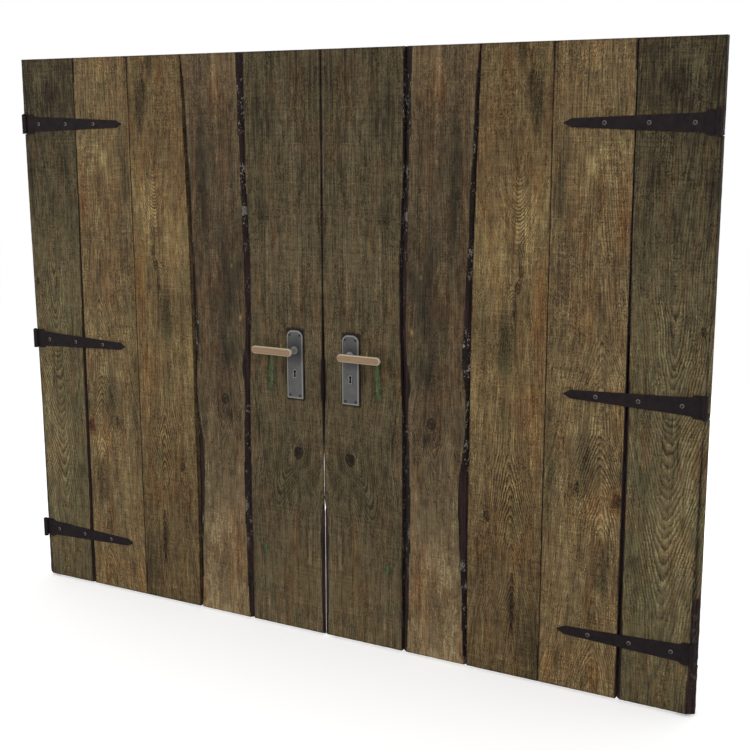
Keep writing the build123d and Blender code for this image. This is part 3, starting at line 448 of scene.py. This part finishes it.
# %% Board material
def wood(name, tones, crisp=1.0, figure=0.5, saw=0.3, turn=0.0, shift=0.0):
    """Weathered wood, with its tones from crevice to pale fibre.

    crisp, figure and saw are the strengths of its fibres, rings and saw marks. turn is the angle of
    the grain from the upright, and shift makes two woods differ.
    """
    material, tree, shader = new_material(name)
    where = put(tree, "TexCoord").outputs["Object"]
    split = put(tree, "SeparateXYZ", feeds=[where])
    across = put(tree, "Math", {"operation": "ABSOLUTE"}, [split.outputs["X"]])
    folded = put(tree, "CombineXYZ", feeds=[across, split.outputs["Y"], split.outputs["Z"]])
    turned = put(tree, "Mapping", feeds={
        "Vector": folded, "Location": (shift, shift, shift), "Rotation": (0, turn, 0)})
    height = put(tree, "SeparateXYZ", feeds=[turned]).outputs["Z"]

    # The marks of the surface, by size in mm: across the grain, into the board and along the grain
    fibres = pattern(tree, turned, (2.8, 7.0, 60.0), 4.0, 0.7)
    pores = pattern(tree, turned, (3.0, 4.0, 5.5), 1.5, 0.6)
    streaks = pattern(tree, turned, (12.0, 22.0, 260.0), 4.0, 0.6)
    clouds = pattern(tree, turned, (48.0, 50.0, 80.0), 5.0, 0.6)
    patches = pattern(tree, turned, (40.0, 46.0, 170.0), 4.0, 0.6)
    scratches = pattern(tree, turned, (120.0, 40.0, 5.0), 4.0, 0.7)
    cracks = pattern(tree, turned, (3.4, 9.0, 210.0), 2.0, 0.5)
    mottle = pattern(tree, turned, (13.0, 16.0, 36.0), 3.0, 0.6)

    # The rings show in some patches more than in others, and most where the board's figure is strong
    wander = [(patches, 1.4), (fibres, 0.35), (clouds, 1.4), (pores, 0.35)]
    bands, line = ring_marks(tree, height, shift, wander)
    shown = put(tree, "Attribute", {"attribute_name": "figure"}).outputs["Fac"]
    in_patches = put(tree, "MapRange", feeds=[patches, 0.36, 0.6, 0.35, 1.0])
    shown = put(tree, "Math", multiply, [in_patches, shown])
    line = put(tree, "Math", multiply, [line, shown])

    # Saw marks show in some patches too, and cracks only where their pattern is at its lowest
    sawn = put(tree, "MapRange", feeds=[scratches, 0.0, 1.0, -0.5, 0.5])
    in_patches = put(tree, "MapRange", feeds=[patches, 0.36, 0.64, 0.25, 1.75])
    sawn = put(tree, "Math", multiply, [sawn, in_patches])
    split_open = put(tree, "MapRange", feeds=[cracks, 0.34, 0.28, 0.0, -0.3])

    # Lightness of the surface: the patterns round a middle value, and the board's own spots
    mix = [(fibres, 0.8 * crisp), (pores, 1.15 * crisp), (bands, 0.6 * crisp), (streaks, 0.45),
           (clouds, 0.5), (mottle, 0.55), (patches, 0.35)]
    middle = 0.55 - sum(amount for _, amount in mix) / 2
    relief = sum_of(tree, mix + [(line, figure), (sawn, saw), (split_open, 1.0)], middle)
    tone = put(tree, "Attribute", {"attribute_name": "tone"}).outputs["Vector"]
    spots = put(tree, "SeparateXYZ", feeds=[tone])
    value = put(tree, "Math", add, [relief, spots.outputs["X"]])
    eye = knot_eye(tree, [(pores, 0.3), (clouds, 0.3)])
    value = put(tree, "Math", add, [value, eye])
    value = put(tree, "Math", subtract, [value, 1.0])
    colour = put(tree, "ValToRGB", feeds=[value], stops=[
        (0.0, linear(tones[0])), (1.0, linear(tones[4])),
        (0.25, linear(tones[1])), (0.5, linear(tones[2])), (0.75, linear(tones[3]))])
    colour = stained(tree, turned, colour, spots, mottle)
    colour, bark_edge, crust = with_bark(tree, turned, colour)

    bumps = put(tree, "Math", multiply_add, [bark_edge, crust, relief])
    bump = put(tree, "Bump", feeds={"Height": bumps, "Strength": 0.5, "Distance": 0.8 * mm})
    rough = put(tree, "MapRange", feeds=[relief, 0.2, 0.8, 0.95, 0.8])
    feed(tree, shader, {
        "Base Color": colour, "Roughness": rough, "Normal": bump, "Specular IOR Level": 0.2})
    return material


# %% Board finishes
# Softwood greyed by weather: matt and streaked, greenish at the hinges, tan and golden further in
board_finish = {
    "outer": wood("weathered_pine_greenish", ("14110a", "2f281a", "4d442e", "675b3f", "8d815c"),
                  1.0, 0.62, 0.4, shift=0.7),
    "second": wood("weathered_pine_tan", ("1a130b", "3b2f1e", "5c4c33", "7b6946", "a99568"),
                   1.1, 0.55, 0.45, shift=1.9),
    "third": wood("weathered_pine_golden", ("1b1208", "3c2e1b", "5b4b31", "7a6743", "a48d5e"),
                  1.05, 0.55, 0.45, shift=3.1),
    # Elm is calmer and browner, and its figure is fainter
    "fourth": wood("weathered_elm_brown", ("17110b", "33291c", "50432f", "6e5d43", "9a8965"),
                   0.95, 0.45, 0.32, shift=4.3),
    "inner": wood("weathered_elm_dark", ("15110a", "2e2718", "4b412d", "62553c", "857656"),
                  1.05, 0.5, 0.36, shift=5.2),
}
# Rough-sawn oak behind the planks: brown and plain, with the grain along each piece
ledge_finish = wood("rough_sawn_oak_level", ("1c1610", "3a3023", "57492f", "736244", "978360"),
                    turn=math.radians(90), shift=6.6)
post_finish = wood("rough_sawn_oak_upright", ("1b150f", "382e22", "524534", "6e5e46", "92805f"),
                   shift=7.7)
print(len(bpy.data.materials), "materials so far")

# %% [markdown]
# ## Planks with real edges
# A measured plank is a smooth solid. The real one has worn corners, a slightly wavy face and, where
# the bark was left on, lumpy edges. A remesh would round every corner off and open up the joints, so
# a copy of the solid is cut into small cells by level and upright planes instead. Its corners stay
# sharp, and its vertices are then moved by smooth random values, as a sculptor would do.


# %% Copy a solid as a mesh of small cells
def cell_copy(node, name, cells):
    """A new piece: the solid's shape, merged and cut into cells of the given sizes along x, y and z."""
    piece = bpy.data.objects.new(name, frame["nodes"][node].data.copy())
    scene.collection.objects.link(piece)
    piece.data.materials.clear()
    bpy.context.view_layer.objects.active = piece
    piece.select_set(True)
    bpy.ops.object.mode_set(mode="EDIT")
    bpy.ops.mesh.select_all(action="SELECT")
    bpy.ops.mesh.remove_doubles(threshold=0.01 * mm)
    bpy.ops.mesh.normals_make_consistent(inside=False)
    bpy.ops.mesh.dissolve_limited(angle_limit=math.radians(0.6))
    low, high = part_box(node)
    for axis in (2, 1, 0):
        count = max(1, round((high[axis] - low[axis]) / (cells[axis] * mm)))
        facing = [float(axis == other) for other in range(3)]
        for step in range(1, count):
            bpy.ops.mesh.select_all(action="SELECT")
            bpy.ops.mesh.bisect(plane_co=low.lerp(high, step / count), plane_no=facing)
    bpy.ops.mesh.select_all(action="SELECT")
    bpy.ops.mesh.remove_doubles(threshold=0.3 * mm)
    bpy.ops.object.mode_set(mode="OBJECT")
    piece.select_set(False)
    return piece


def read(sequence, what, width=3):
    """A property of all vertices, faces or corners, as an array."""
    values = np.empty(len(sequence) * width, np.float32 if width == 3 else np.int32)
    sequence.foreach_get(what, values)
    return values.reshape(-1, 3).astype(float) if width == 3 else values


def store(mesh, **numbers):
    """Keeps one value, or one vector, for each vertex under each of the names."""
    for name, values in numbers.items():
        kind, part = ("FLOAT", "value") if values.ndim == 1 else ("FLOAT_VECTOR", "vector")
        layer = mesh.attributes.new(name, kind, "POINT")
        layer.data.foreach_set(part, values.astype(np.float32).ravel())


def move_vertices(piece, points):
    """Puts the piece's vertices at the given places, in mm."""
    piece.data.vertices.foreach_set("co", (points * mm).astype(np.float32).ravel())
    piece.data.update()


# %% Wear
# A lean is how much a face looks to one side, from 0 for not at all to 1 for straight that way
square_on = 0.9
sideways = 0.5
bark_lean = 0.25


def touching(mesh):
    """For each vertex, how far its faces lean to -x, +x, across (y) and up or down (z), at most."""
    face_normals = read(mesh.polygons, "normal")
    corner_face = np.repeat(np.arange(len(mesh.polygons)), read(mesh.polygons, "loop_total", 1))
    corner_vertex = read(mesh.loops, "vertex_index", 1)
    n = face_normals[corner_face]
    leans = np.zeros((len(mesh.vertices), 4))
    for column, lean in enumerate((-n[:, 0], n[:, 0], np.abs(n[:, 1]), np.abs(n[:, 2]))):
        np.maximum.at(leans[:, column], corner_vertex, lean)
    return leans


def wear(piece, bark_amount, seed, chip=0.9):
    """Waves in the face, lumps in the bark, and chips in the arrises, of the given depth in mm.

    Gives the arrises: where the front or back meets an edge or an end.
    """
    points = read(piece.data.vertices, "co") / mm
    normals = read(piece.data.vertices, "normal")
    leans = touching(piece.data)
    edge_like = np.maximum(leans[:, 0], leans[:, 1])
    arris = (leans[:, 2] > square_on) & ((edge_like > sideways) | (leans[:, 3] > square_on))
    lumps = soft_noise(points, (13, 13, 17), seed) + 0.5 * soft_noise(points, (7, 7, 9), seed + 1)
    waves = soft_noise(points, (60, 60, 260), seed + 2)
    fibres = soft_noise(points, (7, 7, 90), seed + 3)
    chips = np.clip(soft_noise(points, (24, 24, 34), seed + 4) - 0.25, 0, 1)
    bark_amount = np.clip(bark_amount, 0, 1)
    # Arrises are worn back and chipped, faces wave by under 1 mm, and the edges keep their place, so
    # that the joints stay as wide as they are
    plain = np.where(arris, -0.35 - chip * chips, 0.3 * waves + 0.22 * fibres)
    plain = np.where((edge_like > sideways) & ~arris, 0.0, plain)
    # Bark stands out by up to about 1.5 mm, but never sinks in by more than 0.6 mm
    move = bark_amount * np.maximum(1.3 * lumps - 0.3, -0.6) + (1 - bark_amount) * plain
    move_vertices(piece, points + normals * move[:, None])
    return arris


# %% [markdown]
# ## Bark
# Bark was left on some edges. Each such edge has a table of height and amount: 0 is bare wood, 1 the
# smooth reddish inner bark, and 2 the rough outer bark with pale flakes.

# %% Where the bark is
bark_of_edges = {
    "fourth_outer": [
        (0, 1.4), (90, 1.9), (350, 1.9), (390, 1.0), (680, 1.0), (700, 1.95), (1160, 1.95),
        (1200, 0.95), (1330, 0.95), (1370, 1.7), (1900, 1.6), (2100, 1.1),
    ],
    "fourth_inner": [
        (0, 1.1), (290, 1.2), (320, 1.5), (830, 1.6), (870, 1.0), (1040, 1.0), (1090, 1.3), (1460, 1.3),
        (1490, 1.6), (1700, 1.7), (1730, 1.0), (1810, 1.0), (1840, 1.8), (2100, 1.6),
    ],
    "outer_inner": [(0, 1.15), (900, 1.15), (1100, 0.7), (2100, 0.6)],
    "second_outer": [(0, 1.15), (2100, 1.15)],
    "inner_outer": [
        (0, 1.2), (300, 1.6), (860, 1.7), (900, 1.1), (1230, 1.1), (1300, 1.5), (1480, 1.6),
        (1640, 1.9), (1700, 1.95), (1730, 1.0), (1810, 1.0), (1840, 1.9), (2100, 1.9),
    ],
    "inner_seam": [(0, 1.1), (480, 1.0), (520, 0.8), (700, 0.8), (740, 1.1), (1180, 1.0),
                   (1220, 0.7), (2100, 0.7)],
    "outer_hinge": [(0, 1.25), (330, 1.2), (410, 0.5), (700, 0.36), (2100, 0.3)],
}


def bark_values(name, up, leans):
    """How much bark each vertex of a plank has: 0 none, 1 smooth and 2 rough."""
    bark = np.zeros(len(up))
    facing = {"outer": leans[:, 0] > bark_lean, "inner": leans[:, 1] > bark_lean}
    for edge, table in bark_of_edges.items():
        board, end = edge.split("_")
        if board == name:
            here = facing["outer" if end in ("outer", "hinge") else "inner"]
            bark = np.where(here, np.interp(up, *zip(*table)), bark)
    return bark


# %% [markdown]
# ## The seam
# Between the leaves only a thin line of light shows, low down, with bark on both sides of it. There
# the inner plank's bark is moved forward and its edge nearer to the seam. Behind the bark the edge is
# cut back, so that the light can reach the eye from the side.

# %% Close the seam to a thin line
seam_strip = 30  # mm from the door's middle that may be moved
bark_depth = 15  # mm behind the face, to which the bark's groove reaches
nearer_by = [(340, 1.72), (460, 1.9), (490, 2.0), (520, 1.88), (700, 1.9), (740, 0)]  # mm, by height


def close_seam(piece):
    """Brings the left inner plank's seam edge to the front and towards the middle, low down."""
    points = read(piece.data.vertices, "co") / mm
    from_seam = -points[:, 0]
    up = points[:, 2] - leaf_bottom
    deep = points[:, 1] - face_depth
    slope = (touching(piece.data)[:, 1] > bark_lean) & (from_seam < seam_strip)
    low_down = fade(up, 480, 520)
    behind = fade(deep, bark_depth + 10, bark_depth)
    forward = 0.68 * (np.minimum(deep, bark_depth) - bark_depth * behind)
    # The outermost 7 mm come nearer as a whole, and from 22 mm on the board stays as it is
    points[:, 0] += np.interp(up, *zip(*nearer_by)) * fade(from_seam, 7, 22)
    points[:, 0] -= 7 * behind * low_down * fade(from_seam, 8, seam_strip)
    points[:, 1] -= forward * slope * low_down
    move_vertices(piece, points)


# %% [markdown]
# The wood round each lever plate is darkened in a narrow rim: painted shade, standing in for the plate's
# contact shadow.

# %% Painted shade beside the lever plate
shade_width = 7  # mm
skin = 5        # mm behind the face; only what is in front of it gets the painted shade


def plate_painted_shade(points):
    """Painted shade, 1 on the board's face beside the left lever plate and 0 a few mm away."""
    low, high = (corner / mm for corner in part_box("left_lever_plate"))
    away = [np.maximum(np.maximum(low[i] - points[:, i], points[:, i] - high[i]), 0) for i in (0, 2)]
    return fade(np.hypot(*away), 0, shade_width) * (points[:, 1] < face_depth + skin)


# %% [markdown]
# ## The planks themselves
# Each plank is made once, for the left leaf, and mirrored for the right one. Its vertices carry the
# numbers that its finish reads. A worn corner is darker than the face, and an upright one darker still.

# %% Make the planks
plank_cells = (6.0, 6.5, 10.0)  # mm along x, y and z
waney_cells = (5.0, 5.0, 7.5)


def plank(name, cells):
    """The left leaf's plank of that name, with its wear and the numbers its finish reads."""
    piece = cell_copy(f"left_{name}_plank", f"left_{name}_board", cells)
    points = read(piece.data.vertices, "co") / mm
    leans = touching(piece.data)
    if name == "inner":
        close_seam(piece)
    along = door_half - np.abs(points[:, 0])
    up = points[:, 2] - leaf_bottom
    number = list(boards).index(name)
    board = boards[name]
    bark = bark_values(name, up, leans)
    arris = wear(piece, np.where(along > door_half - seam_strip, 0, bark), 100 + 10 * number)
    upright = arris & (np.maximum(leans[:, 0], leans[:, 1]) > sideways)
    tone = np.stack([spots_of(along, up, board[kind]) for kind in ("light", "warm", "green")], axis=1)
    tone[:, 0] += np.interp(up, *zip(*board["bands"])) - 0.12 * arris - 0.25 * upright
    # The inner plank is darkened round the lever plate: painted shade
    if name == "inner":
        tone[:, 0] -= 0.45 * plate_painted_shade(points)
    store(piece.data, rings=ring_count(along, up, board, 11 * number),
          figure=0.3 + spots_of(along, up, board["figure"]),
          eye=eye_values(along, up, board["eyes"]), tone=tone, bark=bark)
    piece.data.materials.append(board_finish[name])
    return piece


def mirrored(piece, name):
    """The same piece on the other side of the door's middle, with its own mesh, right side out."""
    twin = bpy.data.objects.new(name, piece.data.copy())
    scene.collection.objects.link(twin)
    twin.data.transform(Matrix.Scale(-1, 4, (1, 0, 0)))
    twin.data.flip_normals()
    return twin


def smooth(piece):
    """Smooth shading, except over corners of more than 40 degrees."""
    bpy.context.view_layer.objects.active = piece
    piece.select_set(True)
    bpy.ops.object.shade_smooth_by_angle(angle=math.radians(40))
    piece.select_set(False)


for board_name in boards:
    left = plank(board_name, waney_cells if board_name == "fourth" else plank_cells)
    pair = {"left": left, "right": mirrored(left, f"right_{board_name}_board")}
    for side, piece in pair.items():
        smooth(piece)
        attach(piece, f"{side}_leaf")
        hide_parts(f"{side}_{board_name}_plank")
    print(board_name, "plank:", len(left.data.polygons), "faces")


# %% [markdown]
# ## Ledges, braces and frame
# The boards on the inside are rough-sawn too. They get the same treatment, with the grain turned
# along each one.

# %% Make the inside boards
brace_ends = 0.18  # m that the level cuts at a brace's two ends add to its width
rough_chip = 2.2   # mm


def inside_board(node, name, body, finish, direction, seed):
    """A worn board whose grain runs along the given direction, as (x, z)."""
    # Cells are longer along the grain, where little changes
    cells = [9.0, 9.0, 9.0]
    cells[0 if direction[0] else 2] = 24.0 if 1 in direction else 12.0
    piece = cell_copy(node, name, cells)
    points = read(piece.data.vertices, "co") / mm
    run = np.abs(points[:, 0]) * direction[0] + points[:, 2] * direction[1]
    across = np.abs(points[:, 0]) * direction[1] - points[:, 2] * direction[0]
    centre = (across.max() + across.min()) / 2
    # One knot on each board, a little further along it from board to board
    knot = (centre + 20, run.mean() + 40 * (seed % 5))
    grain = {
        "ring": [(0, 9.0)], "round": [(0, 5)], "knots": [(*knot, 16, 3.0)],
        "heart": [(run.min(), centre - 20), (run.max(), centre + 20)],
        "climb": [(run.min(), 0), (run.mean(), 60), (run.max(), 190)],
    }
    bark = np.zeros(len(points))
    store(piece.data, rings=ring_count(across, run, grain, seed), figure=np.full(len(points), 0.7),
          eye=eye_values(across, run, [(*knot, 11, 14)]), tone=np.zeros((len(points), 3)), bark=bark)
    wear(piece, bark, seed, rough_chip)
    piece.data.materials.append(finish)
    smooth(piece)
    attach(piece, body)
    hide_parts(node)


low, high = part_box("right_lower_brace")
brace_lean = math.atan2(high.z - low.z, high.x - low.x - brace_ends)
brace_finish = wood("rough_sawn_oak_leaning", ("241d14", "42382a", "62543e", "7d6d50", "9d8c6a"),
                    turn=math.radians(90) - brace_lean, shift=8.3)
brace_way = (-math.cos(brace_lean), math.sin(brace_lean))
for number, side in enumerate(sides):
    body = f"{side}_leaf"
    for row, place in enumerate(("top", "middle", "bottom")):
        inside_board(f"{side}_{place}_ledge", f"{side}_{place}_ledge_board", body,
                     ledge_finish, (1, 0), 300 + 10 * row + number)
    for row, place in enumerate(("lower", "upper")):
        inside_board(f"{side}_{place}_brace", f"{side}_{place}_brace_board", body,
                     brace_finish, brace_way, 400 + 10 * row + number)
    inside_board(f"{side}_post", f"{side}_post_timber", "frame",
                 post_finish, (0, 1), 500 + number)
inside_board("frame_head", "frame_head_timber", "frame", ledge_finish, (1, 0), 520)
print("inside boards made")

# %% [markdown]
# ## Iron, steel and pewter
# The straps are forged and blackened, so they are matt, almost black with a purple cast, and uneven
# from the hammer. Bolt heads have a painted highlight round their rim. The lever plates are dull dark
# pewter, with paler bevels: wear, and painted highlight.


# %% Metal finishes
def metal(name, dark, light, wear_highlight_colour, roughness, metallic, dent, dent_size, wear_highlight_slants=(0.55, 0.9), sheen=0.5):
    """A metal between two colours, whose slanting bevels take a third: wear, and painted highlight.

    dent and dent_size are how deep and how wide its unevenness is, in mm. The pair after dent_size
    says how square to the front a face is where that third colour is strongest, and where it ends.
    """
    material, tree, shader = new_material(name)
    where = put(tree, "TexCoord").outputs["Object"]
    blotches = put(tree, "TexNoise", feeds={
        "Vector": where, "Scale": 1 / (dent_size * mm), "Detail": 4.0, "Roughness": 0.6})
    # Real grit is too fine to show from here, so it is drawn 1.6 mm wide
    grit = put(tree, "TexNoise", feeds={
        "Vector": where, "Scale": 1 / (1.6 * mm), "Detail": 3.0, "Roughness": 0.6})
    both = put(tree, "Math", multiply_add, [grit, 0.4, blotches])
    colour = put(tree, "ValToRGB", feeds=[both], stops=[
        (0.45, linear(dark)), (0.95, linear(light))])
    square = squareness(tree)
    # Slanting bevels take the third colour: wear, and painted highlight
    bevel_wear_highlight = put(tree, "MapRange", feeds=[square, wear_highlight_slants[1], wear_highlight_slants[0], 0.0, 0.85])
    not_aside = put(tree, "MapRange", feeds=[square, 0.1, 0.4, 0.0, 1.0])
    bevel_wear_highlight = put(tree, "Math", multiply, [bevel_wear_highlight, not_aside])
    colour = put(tree, "Mix", blend, {"Factor": bevel_wear_highlight, "A": colour, "B": linear(wear_highlight_colour)})
    rough = put(tree, "MapRange", feeds=[both, 0.4, 1.0, roughness + 0.1, roughness - 0.1])
    bump = put(tree, "Bump", feeds={"Height": both, "Strength": 0.5, "Distance": dent * mm})
    feed(tree, shader, {
        "Base Color": colour, "Roughness": rough, "Normal": bump, "Metallic": metallic,
        "Specular IOR Level": sheen})
    return material


# Each metal's third colour goes on its slanting bevels: wear, and painted highlight
# Forged and blackened: matt and nearly black, with broad shallow hammer dents
black_iron = metal("blackened_forged_iron", "171213", "211a1b", "292123", 0.8, 0.0, 0.8, 18.0, sheen=0.1)
# Blackened steel: dark, with a painted highlight round its rim
bolt_finish = metal("steel_bolts_rim_highlight", "1d1819", "272122", "6f6b68", 0.6, 0.0, 0.2, 5.0,
                    (0.72, 0.96), sheen=0.2)
small_screw_finish = metal("darkened_steel_screws", "1b1b1c", "2b2b2c", "5a5a59", 0.5, 0.3, 0.1, 4.0,
                           sheen=0.3)
# Zinc on steel: plain light grey, a little shiny
screw_finish = metal("zinc_plated_steel", "5d5c58", "86847e", "a09e98", 0.45, 0.7, 0.2, 5.0)
# Rusted iron: dull orange brown
nail_finish = metal("rusted_cut_nails", "3a2a20", "5f4634", "7a6a5a", 0.7, 0.4, 0.4, 4.0)
# Pewter turned on a lathe: softly shining mid grey, paler on its bevels by painted highlight
pewter = metal("dark_pewter_turned", "6e6e6d", "8f8d8b", "b8b6b2", 0.4, 0.2, 0.15, 30.0, (0.5, 0.85),
               sheen=0.4)
# Cast pewter left to tarnish: darker and flatter
plate_pewter = metal("dark_pewter_plate", "444343", "555453", "545352", 0.55, 0.15, 0.15, 30.0,
                     sheen=0.3)
# Enamel on steel: smooth, nearly black, with a soft shine
case_finish = metal("black_enamelled_steel", "1c1b1c", "2b2a2b", "4a4848", 0.4, 0.1, 0.1, 20.0)
# Steel kept bright by sliding: light grey and shiny
bright_steel = metal("bright_worn_steel", "6f6c66", "96928a", "b5b1a8", 0.35, 0.85, 0.1, 12.0)

# %% [markdown]
# A lever plate's raised rim and the one round its keyhole are paler: partly polished by hands and
# cloths, partly a painted highlight. Round the spindle the metal is darkened by old grease and by a
# painted contact shadow of the lever, and the boss itself gets a slightly lighter painted highlight.
# The corner where the plate meets the wood, and the plate's sides, get painted shade. Rim and corner
# are told apart by how far they stand out from the board.

# %% Wear, grease, painted shade and painted highlight on the lever plates
field_depth = face_depth - 6.0  # mm: the front of the plate's sunk field, inside its rim
grease_and_shade_reach = 60.0  # mm from the spindle, along which the grease and painted shade get thinner
tree = plate_pewter.node_tree
shader = tree.nodes["Principled BSDF"]
plain = shader.inputs["Base Color"].links[0].from_socket
neck_low, neck_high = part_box("left_lever_neck")
spindle = (abs(neck_low.x + neck_high.x) / 2, 0.0, (neck_low.z + neck_high.z) / 2)
where = put(tree, "TexCoord").outputs["Object"]
split = put(tree, "SeparateXYZ", feeds=[where])
across = put(tree, "Math", {"operation": "ABSOLUTE"}, [split.outputs["X"]])
folded = put(tree, "CombineXYZ", feeds={0: across, 2: split.outputs["Z"]})
reach = put(tree, "VectorMath", {"operation": "DISTANCE"}, [folded, spindle])
reach = put(tree, "Math", {"operation": "DIVIDE"}, [reach.outputs["Value"], grease_and_shade_reach * mm])
# The raised rims are paler: polish, and painted highlight
rim = put(tree, "MapRange", feeds=[
    split.outputs["Y"], (field_depth - 0.3) * mm, (field_depth - 0.8) * mm, 0.0, 0.9])
colour = put(tree, "Mix", blend, {"Factor": rim, "A": plain, "B": linear("7f7d79")})
# Round the spindle: darker by old grease and painted contact shadow, slightly lighter on the boss by
# painted highlight
spindle_grease_shade_highlight = put(tree, "ValToRGB", feeds=[reach], stops=[
    (0.0, 1.1), (1.0, 1.0), (0.21, 1.1), (0.25, 0.4)])
# Painted shade where the plate meets the wood, and on the plate's sides
corner = put(tree, "MapRange", feeds=[
    split.outputs["Y"], (face_depth - 5.0) * mm, (face_depth - 3.5) * mm, 1.0, 0.3])
painted_side_shade = put(tree, "MapRange", feeds=[squareness(tree), 0.1, 0.35, 0.2, 1.0])
grease_and_painted_light = put(tree, "Math", multiply, [spindle_grease_shade_highlight, corner])
grease_and_painted_light = put(tree, "Math", multiply, [grease_and_painted_light, painted_side_shade])
grease_and_painted_light = put(tree, "CombineXYZ", feeds=[grease_and_painted_light, grease_and_painted_light, grease_and_painted_light])
colour = put(tree, "Mix", stain, {"Factor": 1.0, "A": colour, "B": grease_and_painted_light})
feed(tree, shader, {"Base Color": colour})

# %% [markdown]
# ## The grips
# The lever's bar is pale smooth wood; its rounded rim is paler by a painted highlight.

# %% Grip finish
# Oiled beech: pale, smooth and a little warm, with fine grain along the bar
grip_finish, tree, shader = new_material("oiled_beech_grip")
where = put(tree, "TexCoord").outputs["Object"]
fibre = pattern(tree, where, (60, 3, 2), 4.0, 0.5)
colour = put(tree, "ValToRGB", feeds=[fibre], stops=[
    (0.3, linear("775f48")), (0.7, linear("8c735a"))])
# Paler rounded rim: painted highlight
rim = put(tree, "MapRange", feeds=[squareness(tree), 0.98, 0.8, 0.0, 1.0])
colour = put(tree, "Mix", blend, {"Factor": rim, "A": colour, "B": linear("b3a78e")})
feed(tree, shader, {"Base Color": colour, "Roughness": 0.6, "Specular IOR Level": 0.25})

# %% [markdown]
# Each piece that keeps its own solid gets the finish that its slot in the record asks for, and a few
# get one of their own.

# %% Give the finishes to their pieces
finishes = {
    "black_iron": black_iron, "pewter": pewter, "case_iron": case_finish, "bolt_steel": bright_steel,
    "steel_fixings": nail_finish, "grip_wood": grip_finish,
}
slots = {part["node"]: part["material_slot"] for part in frame["record"]["subparts"]}
special = {"frame_screws": screw_finish}
for side in sides:
    special.update({
        f"{side}_strap_bolts": bolt_finish, f"{side}_small_screws": small_screw_finish,
        f"{side}_lever_plate": plate_pewter})
for node, thing in frame["nodes"].items():
    finish = special.get(node, finishes.get(slots[node]))
    if finish:
        thing.data.materials.clear()
        thing.data.materials.append(finish)

# %% [markdown]
# ## Camera, light and floor
# The camera stands where the photographer stood, worked out from the door's four corners. The light
# is plain and soft, so that a colour looks about as it was written.

# %% Camera
camera_data = bpy.data.cameras.new("camera")
camera_data.lens = 60.51
camera_data.sensor_width = 36
camera = bpy.data.objects.new("camera", camera_data)
# The camera's own axes, as directions in the door's frame
right = (0.87296, 0.48779, -0.001506)
upward = (-0.09317, 0.169775, 0.98107)
ahead = (-0.47879, 0.856293, -0.19366)
place = (2304.2 * mm, -3767.0 * mm, 1853.5 * mm)
camera.matrix_world = Matrix([
    (right[i], upward[i], -ahead[i], place[i]) for i in range(3)] + [(0, 0, 0, 1)])
scene.collection.objects.link(camera)
scene.camera = camera
scene.view_settings.view_transform = "Standard"

# %% World and lamps
world = bpy.data.worlds.new("studio")
scene.world = world
world.use_nodes = True
tree = world.node_tree
tree.nodes.clear()
rays = put(tree, "LightPath")
# The sky is pure white where it is seen, also in a mirror, and lights the door a little less
seen = put(tree, "Math", {"operation": "MAXIMUM"}, [
    rays.outputs["Is Camera Ray"], rays.outputs["Is Glossy Ray"]])
seen = put(tree, "Math", {"operation": "MAXIMUM"}, [seen, rays.outputs["Is Transmission Ray"]])
strength = put(tree, "MapRange", feeds={"Value": seen, "To Min": 0.75, "To Max": 1.0})
sky = put(tree, "Background", feeds={"Color": (1, 1, 1, 1), "Strength": strength})
put(tree, "OutputWorld", feeds={"Surface": sky})

door_middle = Vector((0, 0, 1.05))


def lamp(name, place, power, size):
    """A soft square lamp that faces the middle of the door."""
    data = bpy.data.lights.new(name, "AREA")
    data.energy = power
    data.size = size
    thing = bpy.data.objects.new(name, data)
    scene.collection.objects.link(thing)
    thing.location = place
    thing.rotation_euler = (door_middle - Vector(place)).to_track_quat("-Z", "Y").to_euler()


lamp("key", (-2.2, -4.2, 3.4), 90, 2.5)
lamp("fill", (3.2, -3.6, 2.6), 40, 3.0)
lamp("back", (0.5, 4.2, 3.0), 90, 3.0)

# %% Floor
bpy.ops.mesh.primitive_plane_add(size=30, location=(0, 0, 0))
floor = bpy.context.object
floor.name = "floor"
material, tree, shader = new_material("pale_floor")
rays = put(tree, "LightPath")
glow = put(tree, "Math", multiply, [rays.outputs["Is Camera Ray"], 0.3])
feed(tree, shader, {
    "Base Color": (0.9, 0.9, 0.9, 1), "Roughness": 0.9, "Emission Color": (1, 1, 1, 1),
    "Emission Strength": glow})
floor.data.materials.append(material)
bpy.ops.object.select_all(action="DESELECT")
